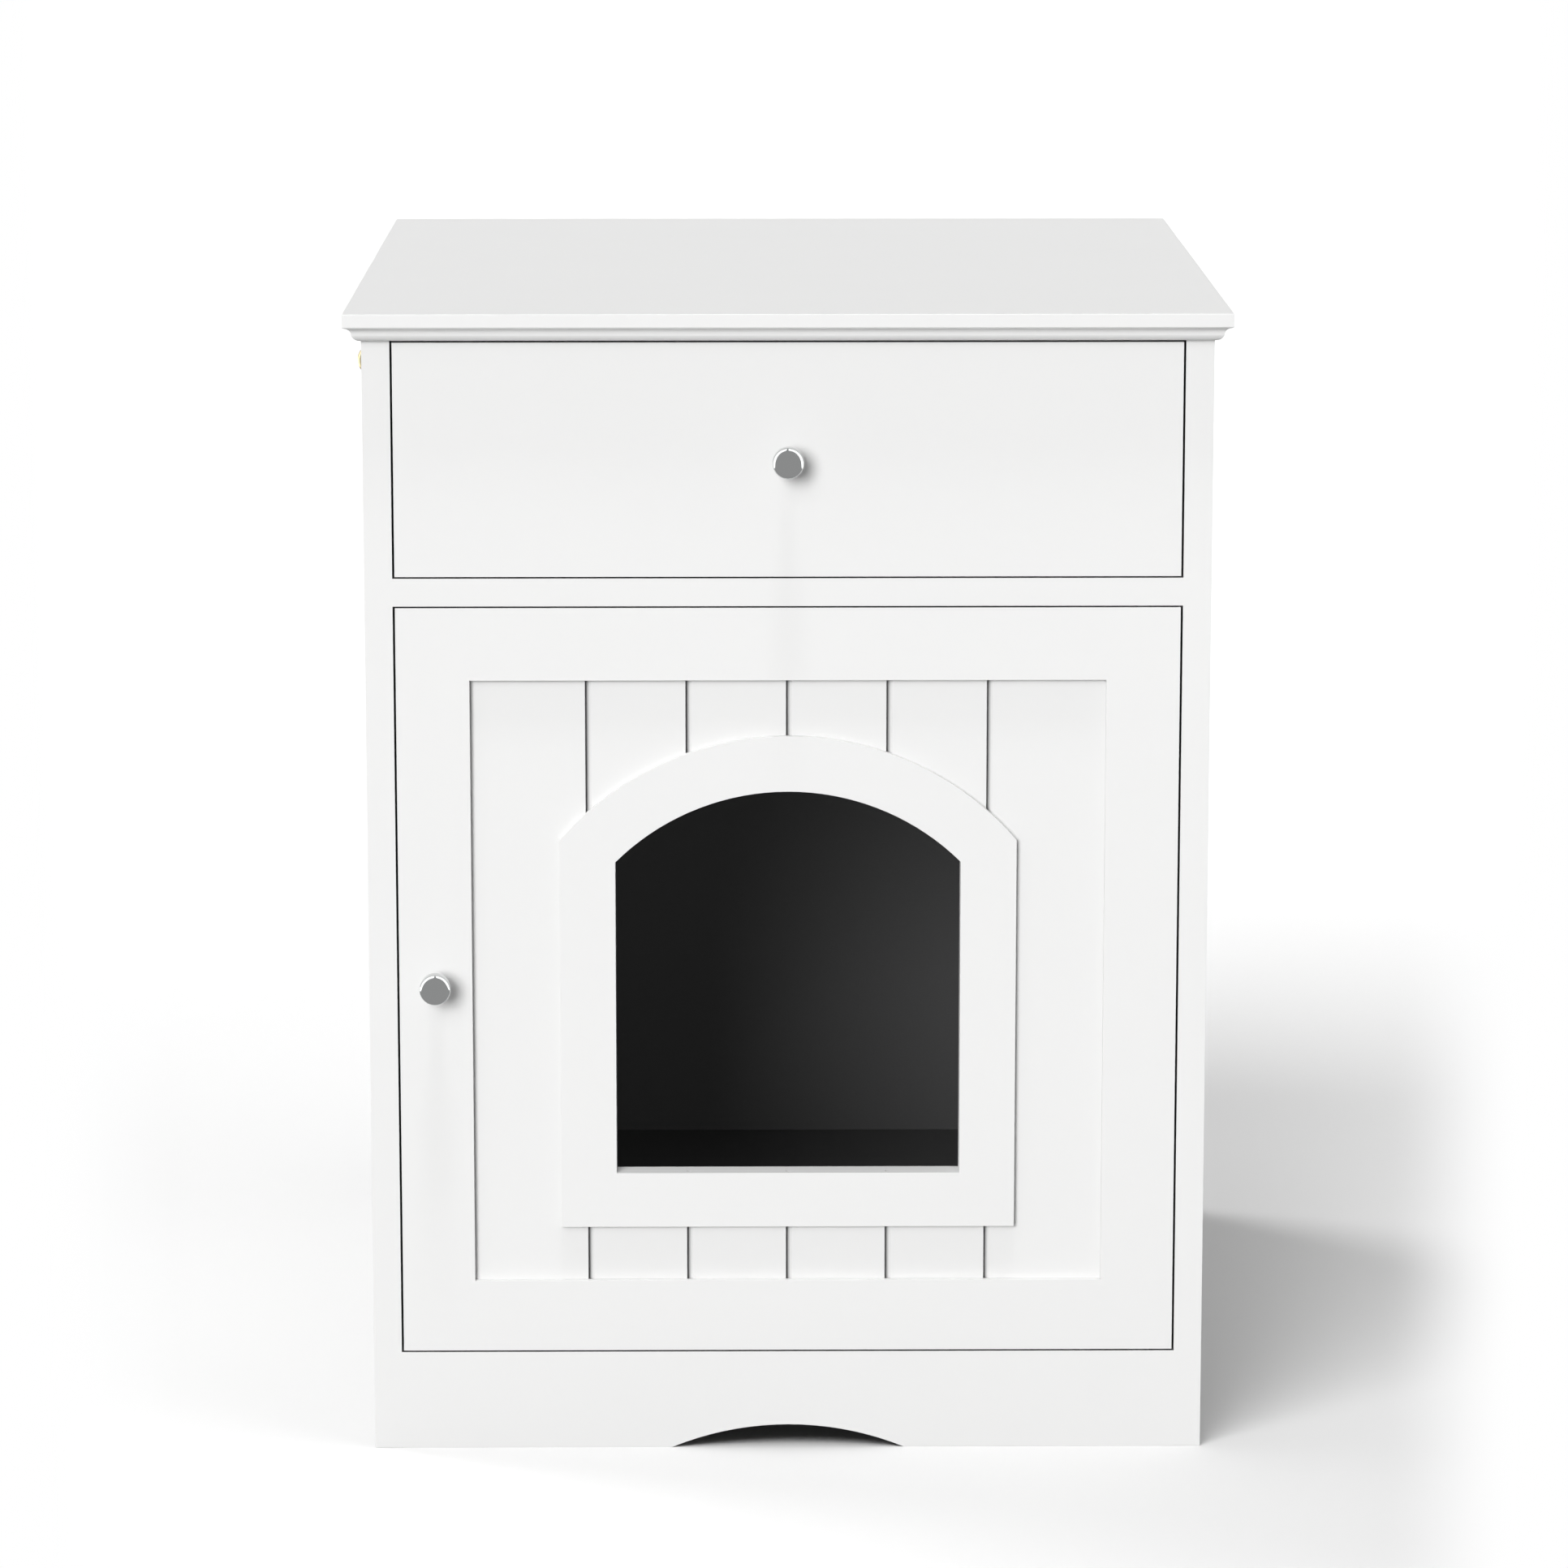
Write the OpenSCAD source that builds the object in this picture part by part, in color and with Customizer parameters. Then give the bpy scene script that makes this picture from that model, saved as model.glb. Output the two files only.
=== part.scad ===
// Cabinet litter box with a drawer over a side-hung door that has an arched cat entrance.
// Origin on the floor, under the middle of the whole cabinet, knobs included.
// +X to the right as seen from the front, +Y to the back, +Z up. Millimetres.

/* [Cabinet] */
// Width over the two side panels
body_w = 480; // [440:1:560]
// Depth of the side panels
body_d = 548; // [536:1:620]
// Height of the underside of the top
body_h = 647; // [640:1:700]
// Thickness of every carcass board
board = 16; // [15:0.5:18]
// Height of the kick board and of the floor's upper face
kick_h = 57.6; // [50:0.2:70]
// Height of the drawer opening
drawer_open_h = 135.4; // [134:0.2:160]
// Gap beside the drawer front and the door
side_gap = 1.2; // [0.7:0.05:1.6]
// Gap above and below the drawer front and the door
line_gap = 0.9; // [0.85:0.05:1.5]
// Chord of the arch cut in the foot of the kick board
toe_w = 134.2; // [100:0.2:180]
// Rise of the arch cut in the foot of the kick board
toe_rise = 13.5; // [8:0.5:24]

/* [Top] */
// How far the top passes the side panels
top_side_over = 10; // [9:0.5:20]
// How far the top passes the front
top_front_over = 12; // [10:0.5:24]
// Height of the moulded edge's plain upper band above the underside
band_foot = 7.7; // [7:0.1:9]
// Radius of the band's lower corner
band_round = 0.9; // [0.4:0.1:1.2]
// How far the cove steps in under the band
cove_in = 4.7; // [4.2:0.1:5.2]
// Radius of the cove
cove_r = 4.1; // [3.9:0.1:4.6]
// Radius of the rounded foot of the moulding
ovolo_r = 5.3; // [3:0.1:5.4]
// Radius of the top's upper arris
arris_r = 0.6; // [0.3:0.1:1.2]

/* [Back panel] */
// Thickness of the hardboard back
back_t = 3; // [3:0.5:4]
// Distance from the side panels' rear edge to the back's rear face
back_inset = 21.2; // [20:0.2:30]
// Depth of the grooves that hold the back
back_groove = 6; // [5:0.5:8]
// Height of the rail behind the back, under the top
rear_rail_h = 80; // [60:1:100]

/* [Door] */
// Width of the door's stiles and rails
stile_w = 41.8; // [40:0.1:52]
// Thickness of the door's frame and of the drawer front
front_t = 16; // [16:0.5:18]
// Depth of the panel's face behind the frame's face
recess = 4; // [3:0.25:5]
// Thickness of the door's plank panel
panel_t = 9; // [8:0.5:9]
// Depth of the grooves in the frame that hold the panel
panel_groove = 7; // [6:0.5:9]
// Width of one plank between grooves
plank_w = 57.2; // [40:0.2:60]
// Width of a groove between planks
plank_groove_w = 3.4; // [2:0.1:4]
// Depth of a groove between planks
plank_groove_d = 3; // [1:0.1:3.4]
// Half width of the cat entrance
arch_half = 98.7; // [80:0.1:105]
// Height of the cat entrance's sill above the lower rail
sill_up = 64.1; // [50:0.1:75]
// Radius of the cat entrance's head
arch_r = 139.3; // [130:0.1:145]
// Distance from the top of the cat entrance to the upper rail
head_down = 64.4; // [50:0.1:75]
// Width of the trim round the entrance
trim_w = 32; // [20:0.5:34]
// Thickness of the trim behind the panel
rear_trim_t = 2; // [1.5:0.25:3]

/* [Door pivots] */
// Distance from the door's hinge edge to the pivot axis
pivot_in = 21.2; // [21:0.1:24]
// Distance from the door's face to the pivot axis
pivot_back = 5; // [4.9:0.05:5.1]
// Diameter of the pivot pins
pin_d = 4; // [3:0.5:4]
// Length of a pin inside the door
pin_l = 8; // [6:0.5:10]
// Outer diameter of the pivot bushes
bush_d = 7; // [6:0.5:7]
// Thickness of the pivot plates
plate_t = 2; // [1.5:0.25:2.5]

/* [Knobs] */
// Diameter of a knob's head
knob_d = 17.8; // [15:0.1:24]
// Thickness of a knob's head
knob_head = 8; // [6:0.5:12]
// How far a knob stands out
knob_out = 18; // [16:0.5:26]
// Rounding of the head's front edge
knob_round = 1.8; // [1:0.1:2.5]
// Diameter of a knob's neck
knob_neck_d = 9; // [8:0.5:12]
// Diameter of the machine screws that hold the knobs
knob_screw_d = 4; // [3:0.5:4]

/* [Drawer] */
// Thickness of the drawer's sides and back
drawer_t = 12; // [12:0.5:15]
// Height of the drawer's sides
drawer_h = 96; // [70:1:98]
// Thickness of the drawer's bottom
drawer_bottom_t = 4; // [3:0.5:5]
// Height of the drawer bottom's groove above the sides' lower edge
drawer_bottom_up = 9; // [8:0.5:14]
// Length of the runners
runner_l = 450; // [400:10:470]
// Room between a drawer side and the carcass
runner_room = 12; // [12:0.25:14]
// Thickness of the runners' steel
steel_t = 1.2; // [1:0.1:1.2]
// Diameter of the runners' rollers
roller_d = 20; // [18:0.5:20]
// Width of a roller
roller_w = 6; // [5:0.5:6]
// How far the drawer opens
drawer_travel = 340; // [200:5:340]

/* [Scoop hook] */
// Outer radius of the hook's bend
hook_r = 9.6; // [8:0.1:12]
// Thickness of the hook's brass wire
hook_wire = 3; // [2.5:0.1:3.5]
// Distance from the underside of the top to the middle of the hook's bend
hook_drop = 40.6; // [30:0.2:80]

/* [Hidden] */
$fn = 72;

fit = 0.1;              // radial room round a fixed pin or screw
spin = 0.05;            // radial room round a pin that something turns on
slip = 0.2;             // room in grooves and pockets
over = 1;               // how far a cutter passes the face it cuts

half = body_w / 2;                      // outer face of the side panels
inner = half - board;                   // inner face of the side panels
yf = -(body_d - knob_out) / 2;          // front face of the carcass
yb = yf + body_d;                       // rear edge of the side panels
mid_y = (yf + yb) / 2;
top_z = body_h + board;
shelf_top = body_h - drawer_open_h;
shelf_z = shelf_top - board;
floor_z = kick_h - board;
back_y = yb - back_inset - back_t;      // inner face of the back
back_half = inner + back_groove - slip; // half width of the back
back_z = floor_z / 2;                   // lower edge of the back

// Top
top_half = half + top_side_over;
top_y = yf - top_front_over;
top_d = body_d + top_front_over;

// Screwed joints of the carcass
conf_l = 48;            // length of a confirmat screw
conf_d = 6.4;           // diameter of its thread
conf_head_d = 9.6;
conf_head = 3.4;
cap_t = 1.2;            // thickness of a cover cap
conf_y = [mid_y - body_d * 0.32, mid_y + body_d * 0.30];
conf_z = [floor_z + board / 2, shelf_z + board / 2];
cam_d = 15;
cam_t = 12;
cam_drop = 26;          // how far a cam's centre lies below the top
cam_y = [mid_y - body_d * 0.30, mid_y + body_d * 0.32];
bolt_d = 6;
bolt_in = 11;           // how far a cam bolt enters the top
dowel_d = 8;
dowel_l = 32;

// Door
front_half = inner - side_gap;          // half width of the door and the drawer front
door_z0 = kick_h + line_gap;
door_z1 = shelf_z - line_gap;
door_back = yf + front_t;
field_half = front_half - stile_w;      // half width of the recessed field
field_z0 = door_z0 + stile_w;
field_z1 = door_z1 - stile_w;
panel_y = yf + recess;
plank_square = plank_groove_w / 3;      // from a groove's line to the square edge on its left
arch_sill = field_z0 + sill_up;         // height of the cat entrance's sill
arch_centre = field_z1 - head_down - arch_r;         // height that the head is struck from
tongue = panel_groove - slip / 2;       // how far the panel enters the frame's grooves
pivot_x = front_half - pivot_in;
pivot_y = yf + pivot_back;
bush_l = pin_l + over;
bush_flange = line_gap - spin;          // the bush's collar carries the door on the plate
bush_flange_d = bush_d + 2;
plate_l = 40;
plate_w = 10;
plate_out = 8;                          // how far a plate passes the pivot axis
plate_front = pivot_back - over;        // how far a plate's front edge lies before the axis
plate_screw_x = [14, 26];
wood_screw_d = 3.4;
wood_screw_l = 13;
rail_screw_l = steel_t + drawer_bottom_up - 1;          // ends under the drawer's bottom
screw_head_d = 6.4;
screw_head = 1.7;

// Knobs and their screws
knob_x = -pivot_x;
knob_z = (door_z0 + door_z1) / 2;
drawer_knob_z = (shelf_top + body_h) / 2;
knob_foot_d = knob_neck_d + 2.4;
knob_foot = 1.6;
knob_bore = 11;
knob_screw_head_d = 8;
knob_screw_head = 2.2;

// Catch
catch_x = 74 - inner;
catch_w = 46;
catch_d = 15;
catch_h = 12;
strike_w = 38;
strike_h = 12;
strike_t = 1;
catch_y = door_back + strike_t + 0.6;
pole_t = 1.5;
pole_out = 0.4;

// Drawer
drawer_z0 = shelf_top + line_gap;
drawer_z1 = body_h - line_gap;
room_in = inner - runner_room;          // outer face of the drawer's sides
runner_y = yf + front_t + 3;            // front end of the carcass runners
runner_z = shelf_top + 16.4;            // lower face of the carcass runners
flange_w = 10;
channel_h = roller_d + 1.2;
lip_z = runner_z + steel_t + channel_h; // lower face of the runner's upper lip
lip_w = 7;
lip_start = 34;                         // the lip stays clear of the front roller
roller_in = 3.6;                        // gap between a side panel and its roller
front_roller_y = runner_y + 14;
front_roller_z = lip_z + steel_t + 2 - roller_d / 2;
rail_z = front_roller_z + roller_d / 2 + fit;        // underside of the drawer runner's flange
side_z = runner_z + steel_t + 1.8;      // lower edge of the drawer's sides
box_y = yf + front_t;                   // front end of the drawer's sides
rail_y = box_y + 0.5;
rear_roller_y = rail_y + runner_l - 14;
rear_roller_z = runner_z + steel_t + roller_d / 2 + fit;
web_x = runner_room - steel_t;          // the drawer runner's web, from the side panel
rail_foot = 11;                         // width of the flange under the drawer's sides
axle_d = 4;
axle_head_d = 6.6;
axle_head = 0.6;
runner_screw_y = [40, 215, 400];
stop_y = rear_roller_y - drawer_travel - 8.6;        // the stop that ends the travel
stop_h = 4;
box_half = room_in - drawer_t;          // half width inside the drawer
box_l = runner_l;
bottom_z = side_z + drawer_bottom_up;
bottom_in = 5;                          // how far the bottom enters its grooves
peg_d = 6;
peg_l = 24;
peg_z = [side_z + drawer_h * 0.35, side_z + drawer_h * 0.8];

// Hook
hook_back = 250;        // how far the hook sits behind the front
hook_y = yf + hook_back;
hook_z = body_h - hook_drop;            // height of the bend's centre
hook_out = 17.8;                        // how far the bend stands out from the panel
hook_x = -(half + hook_out - hook_r);   // centre of the bend
hook_collar_d = 12;
hook_collar = 2.4;
hook_thread = 10;

white = [0.93, 0.93, 0.92];
dark = [0.13, 0.13, 0.13];
chrome = [0.55, 0.56, 0.55];
steel = [0.72, 0.73, 0.74];
zinc = [0.62, 0.62, 0.60];
brass = [0.78, 0.65, 0.33];
nylon = [0.88, 0.88, 0.84];
black = [0.05, 0.05, 0.05];
beech = [0.80, 0.67, 0.48];

// ---------- shared shapes ----------

// A box from its lowest corner to its highest
module box(a, b) { translate(a) cube(b - a); }

// A cylinder along X, Y or Z that starts at p
module rod_x(p, d, l) { translate(p) rotate([0, 90, 0]) cylinder(d = d, h = l); }
module rod_y(p, d, l) { translate(p) rotate([-90, 0, 0]) cylinder(d = d, h = l); }
module rod_z(p, d, l) { translate(p) cylinder(d = d, h = l); }

// A flat shape in the XZ plane, t thick from y0 towards the back
module slab_y(y0, t) { translate([0, y0 + t, 0]) rotate([90, 0, 0]) linear_extrude(t) children(); }

// Everything on the right, repeated on the left
module both_sides() { children(); mirror([1, 0, 0]) children(); }

// What a corner loses when it is rounded; the corner is at the origin
module corner_cut(r) {
  difference() {
    translate([-over, -over]) square(r + over);
    translate([r, r]) circle(r);
  }
}

// Section of the top's moulded edge: x runs in from the edge, y up from the underside
module edge_section(len) {
  cove_c = band_foot - cove_r;
  difference() {
    union() {
      translate([0, band_foot]) square([len, board - band_foot]);
      translate([cove_in, 0]) square([len - cove_in, board]);
      translate([band_round, cove_c]) square([cove_in - band_round + slip, band_foot - cove_c + slip]);
    }
    translate([band_round, cove_c]) circle(cove_r);
    translate([0, band_foot + slip]) corner_cut(band_round);
    translate([-over, band_foot - over]) square([over + band_round, over + slip]);
    translate([-over, -over]) square([over + band_round + slip, over + band_foot - slip]);
    translate([cove_in, 0]) corner_cut(ovolo_r);
    translate([0, board]) mirror([0, 1]) corner_cut(arris_r);
  }
}

// Outline of the cat entrance, grown by m
module arch_shape(m) {
  h = arch_half + m;
  z0 = arch_sill - m;
  intersection() {
    translate([-h, z0]) square([2 * h, 2 * (arch_r + m)]);
    union() {
      translate([0, arch_centre]) circle(arch_r + m);
      translate([-h, z0]) square([2 * h, arch_centre - z0]);
    }
  }
}

// A countersunk wood screw that points along -Z, its head's face at the origin
module wood_screw() {
  translate([0, 0, -screw_head]) cylinder(d1 = wood_screw_d, d2 = screw_head_d, h = screw_head);
  translate([0, 0, -wood_screw_l]) cylinder(d = wood_screw_d, h = wood_screw_l);
}

// The hole it sits in
module wood_screw_hole() {
  r = 2 * fit;
  translate([0, 0, -screw_head - fit])
    cylinder(d1 = wood_screw_d + r, d2 = screw_head_d + r, h = screw_head + fit);
  translate([0, 0, -wood_screw_l - fit]) cylinder(d = wood_screw_d + r, h = wood_screw_l + fit);
  translate([0, 0, -fit]) cylinder(d = screw_head_d + r, h = fit + over);
}

// A pan-headed screw along +X, its head's underside at the origin
module pan_screw(l) {
  rod_x([-screw_head, 0, 0], screw_head_d, screw_head);
  rod_x([0, 0, 0], wood_screw_d, l);
}

// A knob that stands out towards -Y from the origin
module knob() {
  r = knob_d / 2;
  z1 = knob_out - knob_head;
  rotate([90, 0, 0]) difference() {
    rotate_extrude() difference() {
      union() {
        square([knob_foot_d / 2, knob_foot]);
        square([knob_neck_d / 2, z1 + over]);
        translate([0, z1]) square([r, knob_head]);
      }
      translate([r, knob_out]) mirror([1, 0]) mirror([0, 1]) corner_cut(knob_round);
      translate([r, z1]) mirror([1, 0]) corner_cut(knob_round / 2);
    }
    translate([0, 0, -over]) cylinder(d = knob_screw_d + 2 * fit, h = knob_bore + over);
  }
}

// Its screw, whose head bears on the back of a board t thick
module knob_screw(t) {
  rod_y([0, t, 0], knob_screw_head_d, knob_screw_head);
  rod_y([0, -knob_bore + over, 0], knob_screw_d, t + knob_bore - over);
}
module knob_screw_hole(t) { rod_y([0, -over, 0], knob_screw_d + 2 * fit, t + 2 * over); }

// A pin's hole in a board, along X and centred on the board's end
module peg_hole(x, y, z, d, l) { rod_x([x - l / 2, y, z], d, l); }

// ---------- carcass ----------

module top_panel() {
  color(white) difference() {
    intersection() {
      translate([-top_half, top_y, body_h]) rotate([90, 0, 90]) linear_extrude(2 * top_half)
        edge_section(top_d);
      translate([0, top_y + top_d, body_h]) rotate([90, 0, 0]) linear_extrude(top_d) {
        translate([-top_half, 0]) edge_section(top_half + over);
        mirror([1, 0]) translate([-top_half, 0]) edge_section(top_half + over);
      }
    }
    both_sides() for (y = cam_y)
      rod_z([inner + board / 2, y, body_h - over], bolt_d + 2 * fit, over + bolt_in + fit);
  }
}

module side_panel() {
  difference() {
    box([inner, yf, 0], [half, yb, body_h]);
    // groove for the back
    box([inner - over, back_y - fit, -over], [inner + back_groove, back_y + back_t + fit, body_h + over]);
    // screws into the floor and the shelf, their heads and cover caps
    for (y = conf_y, z = conf_z) {
      rod_x([inner - over, y, z], conf_d + 2 * fit, board + 2 * over);
      rod_x([half - conf_head - cap_t, y, z], conf_head_d + 2 * fit, conf_head + cap_t + over);
    }
    // cams and bolts that hold the top
    for (y = cam_y) {
      rod_x([inner - over, y, body_h - cam_drop], cam_d + 2 * fit, over + cam_t + fit);
      rod_z([inner + board / 2, y, body_h - cam_drop], bolt_d + 2 * fit, cam_drop + over);
    }
    // dowels of the kick board and the rails
    for (p = dowel_at) peg_hole(inner, p[0], p[1], dowel_d + 2 * fit, dowel_l * 0.7);
    // pilot holes of the runner's screws
    for (y = runner_screw_y)
      rod_x([inner - over, runner_y + y, rail_mid], wood_screw_d + 2 * fit, over + wood_screw_l - steel_t);
  }
}
rail_mid = runner_z + steel_t + channel_h / 2;
dowel_at = [
  [yf + board / 2, kick_h / 2],
  [back_y - board / 2, floor_z / 2],
  [back_y + back_t + board / 2 + fit, body_h - rear_rail_h / 2]
];

module side_panel_left() {
  color(white) difference() {
    mirror([1, 0, 0]) side_panel();
    rod_x([-half - over, hook_y, hook_pin_z], hook_shank_d + 2 * fit, over + hook_thread + fit);
  }
}
module side_panel_right() { color(white) side_panel(); }

module dowel_holes(i) {
  both_sides() peg_hole(inner, dowel_at[i][0], dowel_at[i][1], dowel_d + 2 * fit, dowel_l + 2 * fit);
}

module confirmat_holes(z) {
  both_sides() for (y = conf_y)
    rod_x([half - conf_l - fit, y, z], conf_d + 2 * fit, conf_l);
}

module divider_shelf() {
  color(white) difference() {
    box([-inner, yf, shelf_z], [inner, back_y, shelf_top]);
    confirmat_holes(conf_z[1]);
    translate([pivot_x, pivot_y, shelf_z]) mirror([0, 0, 1]) plate_pocket();
    for (x = catch_screw_x) translate([catch_x + x, catch_y + catch_d * 0.62, shelf_z - catch_foot])
      mirror([0, 0, 1]) wood_screw_hole();
  }
}

module floor_panel() {
  color(dark) difference() {
    box([-inner, yf + board, floor_z], [inner, back_y, kick_h]);
    confirmat_holes(conf_z[0]);
  }
}

module kick_board() {
  r = (pow(toe_w / 2, 2) + pow(toe_rise, 2)) / (2 * toe_rise);
  color(white) difference() {
    box([-inner, yf, 0], [inner, yf + board, kick_h]);
    translate([0, yf - over, toe_rise - r]) rotate([-90, 0, 0]) cylinder(r = r, h = board + 2 * over, $fn = 180);
    dowel_holes(0);
    translate([pivot_x, pivot_y, kick_h]) plate_pocket();
  }
}

module back_panel() {
  color(dark) box([-back_half, back_y, back_z], [back_half, back_y + back_t, body_h]);
}

module rear_base_rail() {
  color(white) difference() {
    box([-inner, back_y - board, 0], [inner, back_y, floor_z]);
    dowel_holes(1);
  }
}

module rear_top_rail() {
  y0 = back_y + back_t;
  color(white) difference() {
    box([-inner, y0, body_h - rear_rail_h], [inner, y0 + board, body_h]);
    dowel_holes(2);
  }
}

module confirmat_screws() {
  color(zinc) both_sides() for (y = conf_y, z = conf_z) {
    x = half - cap_t - conf_head;
    difference() {
      rod_x([x, y, z], conf_head_d, conf_head);
      rod_x([x + conf_head / 3, y, z], 4, conf_head);
    }
    rod_x([half - conf_l + fit, y, z], conf_d, conf_l - cap_t - conf_head);
  }
}

module screw_caps() {
  color(white) both_sides() for (y = conf_y, z = conf_z)
    rod_x([half - cap_t, y, z], conf_head_d, cap_t);
}

module cam_discs() {
  z = body_h - cam_drop;
  color(zinc) both_sides() for (y = cam_y) difference() {
    rod_x([inner, y, z], cam_d, cam_t);
    rod_z([inner + board / 2, y, z], bolt_d + 2 * fit, cam_d);
    box([inner - over, y - 0.6, z - 4], [inner + 1.6, y + 0.6, z + 4]);
    box([inner - over, y - 4, z - 0.6], [inner + 1.6, y + 4, z + 0.6]);
  }
}

module cam_bolts() {
  color(zinc) both_sides() for (y = cam_y)
    rod_z([inner + board / 2, y, body_h - cam_drop], bolt_d, cam_drop + bolt_in);
}

module wood_dowels() {
  color(beech) both_sides() for (p = dowel_at)
    rod_x([inner - dowel_l / 2, p[0], p[1]], dowel_d, dowel_l * 0.85 - fit);
}

// ---------- runners ----------

// The carcass half of a runner, on the right
module runner() {
  x = inner;
  y1 = runner_y + runner_l;
  difference() {
    union() {
      box([x - steel_t, runner_y, runner_z], [x, y1, lip_z + steel_t]);
      box([x - flange_w, runner_y, runner_z], [x, y1, runner_z + steel_t]);
      box([x - lip_w, runner_y + lip_start, lip_z], [x, y1, lip_z + steel_t]);
      box([x - flange_w, stop_y - 3, runner_z], [x - steel_t, stop_y, runner_z + steel_t + stop_h]);
    }
    for (y = runner_screw_y)
      rod_x([x - steel_t - over, runner_y + y, rail_mid], wood_screw_d + 2 * fit, steel_t + 2 * over);
    rod_x([x - steel_t - over, front_roller_y, front_roller_z], axle_d + 2 * fit, steel_t + 2 * over);
  }
}
module runner_right() { color(nylon) runner(); }
module runner_left() { color(nylon) mirror([1, 0, 0]) runner(); }

module runner_axles() {
  color(steel) both_sides() {
    x1 = roller_in + roller_w + fit + axle_head;
    rod_x([inner - x1, front_roller_y, front_roller_z], axle_head_d, axle_head);
    rod_x([inner - x1, front_roller_y, front_roller_z], axle_d, x1);
    rod_x([inner - roller_in + fit, front_roller_y, front_roller_z], axle_head_d, roller_in - steel_t - fit);
  }
}

module runner_screws() {
  color(zinc) both_sides() for (y = runner_screw_y)
    translate([inner - steel_t, runner_y + y, rail_mid]) pan_screw(wood_screw_l - fit);
}

// A roller on the right whose hub is bored for the axle
module roller(x, y, z) {
  difference() {
    rod_x([x, y, z], roller_d, roller_w);
    rod_x([x - over, y, z], axle_d + 2 * spin, roller_w + 2 * over);
  }
}
module front_roller() { roller(inner - roller_in - roller_w, front_roller_y, front_roller_z); }
module front_roller_right() { color(nylon) front_roller(); }
module front_roller_left() { color(nylon) mirror([1, 0, 0]) front_roller(); }

// The drawer half of a runner, on the right
module drawer_runner() {
  x = inner - runner_room;
  y1 = rail_y + runner_l - 1;
  difference() {
    union() {
      box([x, rail_y, side_z - steel_t], [x + steel_t, y1, rail_z + steel_t]);
      box([x - rail_foot, rail_y, side_z - steel_t], [x + steel_t, y1, side_z]);
      box([x, rail_y, rail_z], [x + web_x - 2, y1, rail_z + steel_t]);
    }
    rod_x([x - over, rear_roller_y, rear_roller_z], axle_d + 2 * fit, steel_t + 2 * over);
    for (y = runner_screw_y)
      rod_z([x - drawer_t / 2, rail_y + y, side_z - steel_t - over], wood_screw_d + 2 * fit, steel_t + 2 * over);
  }
}
module drawer_runner_right() { color(nylon) drawer_runner(); }
module drawer_runner_left() { color(nylon) mirror([1, 0, 0]) drawer_runner(); }

rear_roller_in = 4.2;   // gap between a side panel and the drawer's roller
module drawer_axles() {
  x0 = rear_roller_in - fit - axle_head;
  x1 = rear_roller_in + roller_w + fit;
  color(steel) both_sides() {
    rod_x([inner - x0 - axle_head, rear_roller_y, rear_roller_z], axle_head_d, axle_head);
    rod_x([room_in, rear_roller_y, rear_roller_z], axle_d, runner_room - x0);
    rod_x([room_in + steel_t, rear_roller_y, rear_roller_z], axle_head_d, runner_room - steel_t - x1);
  }
}
module rear_roller() { roller(inner - rear_roller_in - roller_w, rear_roller_y, rear_roller_z); }
module rear_roller_right() { color(nylon) rear_roller(); }
module rear_roller_left() { color(nylon) mirror([1, 0, 0]) rear_roller(); }

module drawer_runner_screws() {
  color(zinc) both_sides() for (y = runner_screw_y)
    translate([room_in - drawer_t / 2, rail_y + y, side_z - steel_t]) rotate([0, -90, 0])
      pan_screw(rail_screw_l);
}

// ---------- door pivots and catch ----------

// Seat of a pivot plate, cut down from a board's face at the pivot axis
module plate_pocket() {
  box([-plate_l + plate_out - fit, -plate_front - fit, -plate_t],
      [plate_out + fit, plate_w - plate_front + fit, over]);
  for (x = plate_screw_x) translate([-x, plate_w / 2 - plate_front, 0]) wood_screw_hole();
}

// A plate with its pin, which rises from the board's face
module pivot_plate() {
  difference() {
    box([-plate_l + plate_out, -plate_front, -plate_t], [plate_out, plate_w - plate_front, 0]);
    for (x = plate_screw_x) translate([-x, plate_w / 2 - plate_front, 0]) wood_screw_hole();
  }
  rod_z([0, 0, -plate_t], pin_d, plate_t + line_gap + pin_l);
}
module pivot_plate_lower() { color(steel) translate([pivot_x, pivot_y, kick_h]) pivot_plate(); }
module pivot_plate_upper() {
  color(steel) translate([pivot_x, pivot_y, shelf_z]) mirror([0, 0, 1]) pivot_plate();
}

module pivot_screws() {
  color(zinc) for (x = plate_screw_x) {
    translate([pivot_x - x, pivot_y + plate_w / 2 - plate_front, kick_h]) wood_screw();
    translate([pivot_x - x, pivot_y + plate_w / 2 - plate_front, shelf_z]) mirror([0, 0, 1]) wood_screw();
  }
}

catch_screw_x = [-17, 17];
catch_foot = 3;         // thickness of the housing's ears under the shelf
module catch_housing() {
  z0 = shelf_z - catch_h;
  w = catch_w / 2;
  ear = 11;
  color(nylon) difference() {
    union() {
      box([catch_x - w + ear, catch_y, z0], [catch_x + w - ear, catch_y + catch_d, shelf_z]);
      box([catch_x - w, catch_y + catch_d * 0.3, shelf_z - catch_foot],
          [catch_x + w, catch_y + catch_d, shelf_z]);
    }
    for (x = catch_screw_x) translate([catch_x + x, catch_y + catch_d * 0.62, shelf_z - catch_foot])
      mirror([0, 0, 1]) wood_screw_hole();
    for (s = [-1, 1]) pole_box(s, fit);
  }
}

// A pole piece, grown by m for its slot
module pole_box(s, m) {
  x = catch_x + s * 5;
  box([x - pole_t / 2 - m, catch_y - (m > 0 ? over : pole_out), shelf_z - catch_h + 2 - m],
      [x + pole_t / 2 + m, catch_y + catch_d * 0.7, shelf_z - 3 + m]);
}
module catch_poles() { color(zinc) for (s = [-1, 1]) pole_box(s, 0); }

module catch_screws() {
  color(zinc) for (x = catch_screw_x)
    translate([catch_x + x, catch_y + catch_d * 0.62, shelf_z - catch_foot]) mirror([0, 0, 1]) wood_screw();
}

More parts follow.
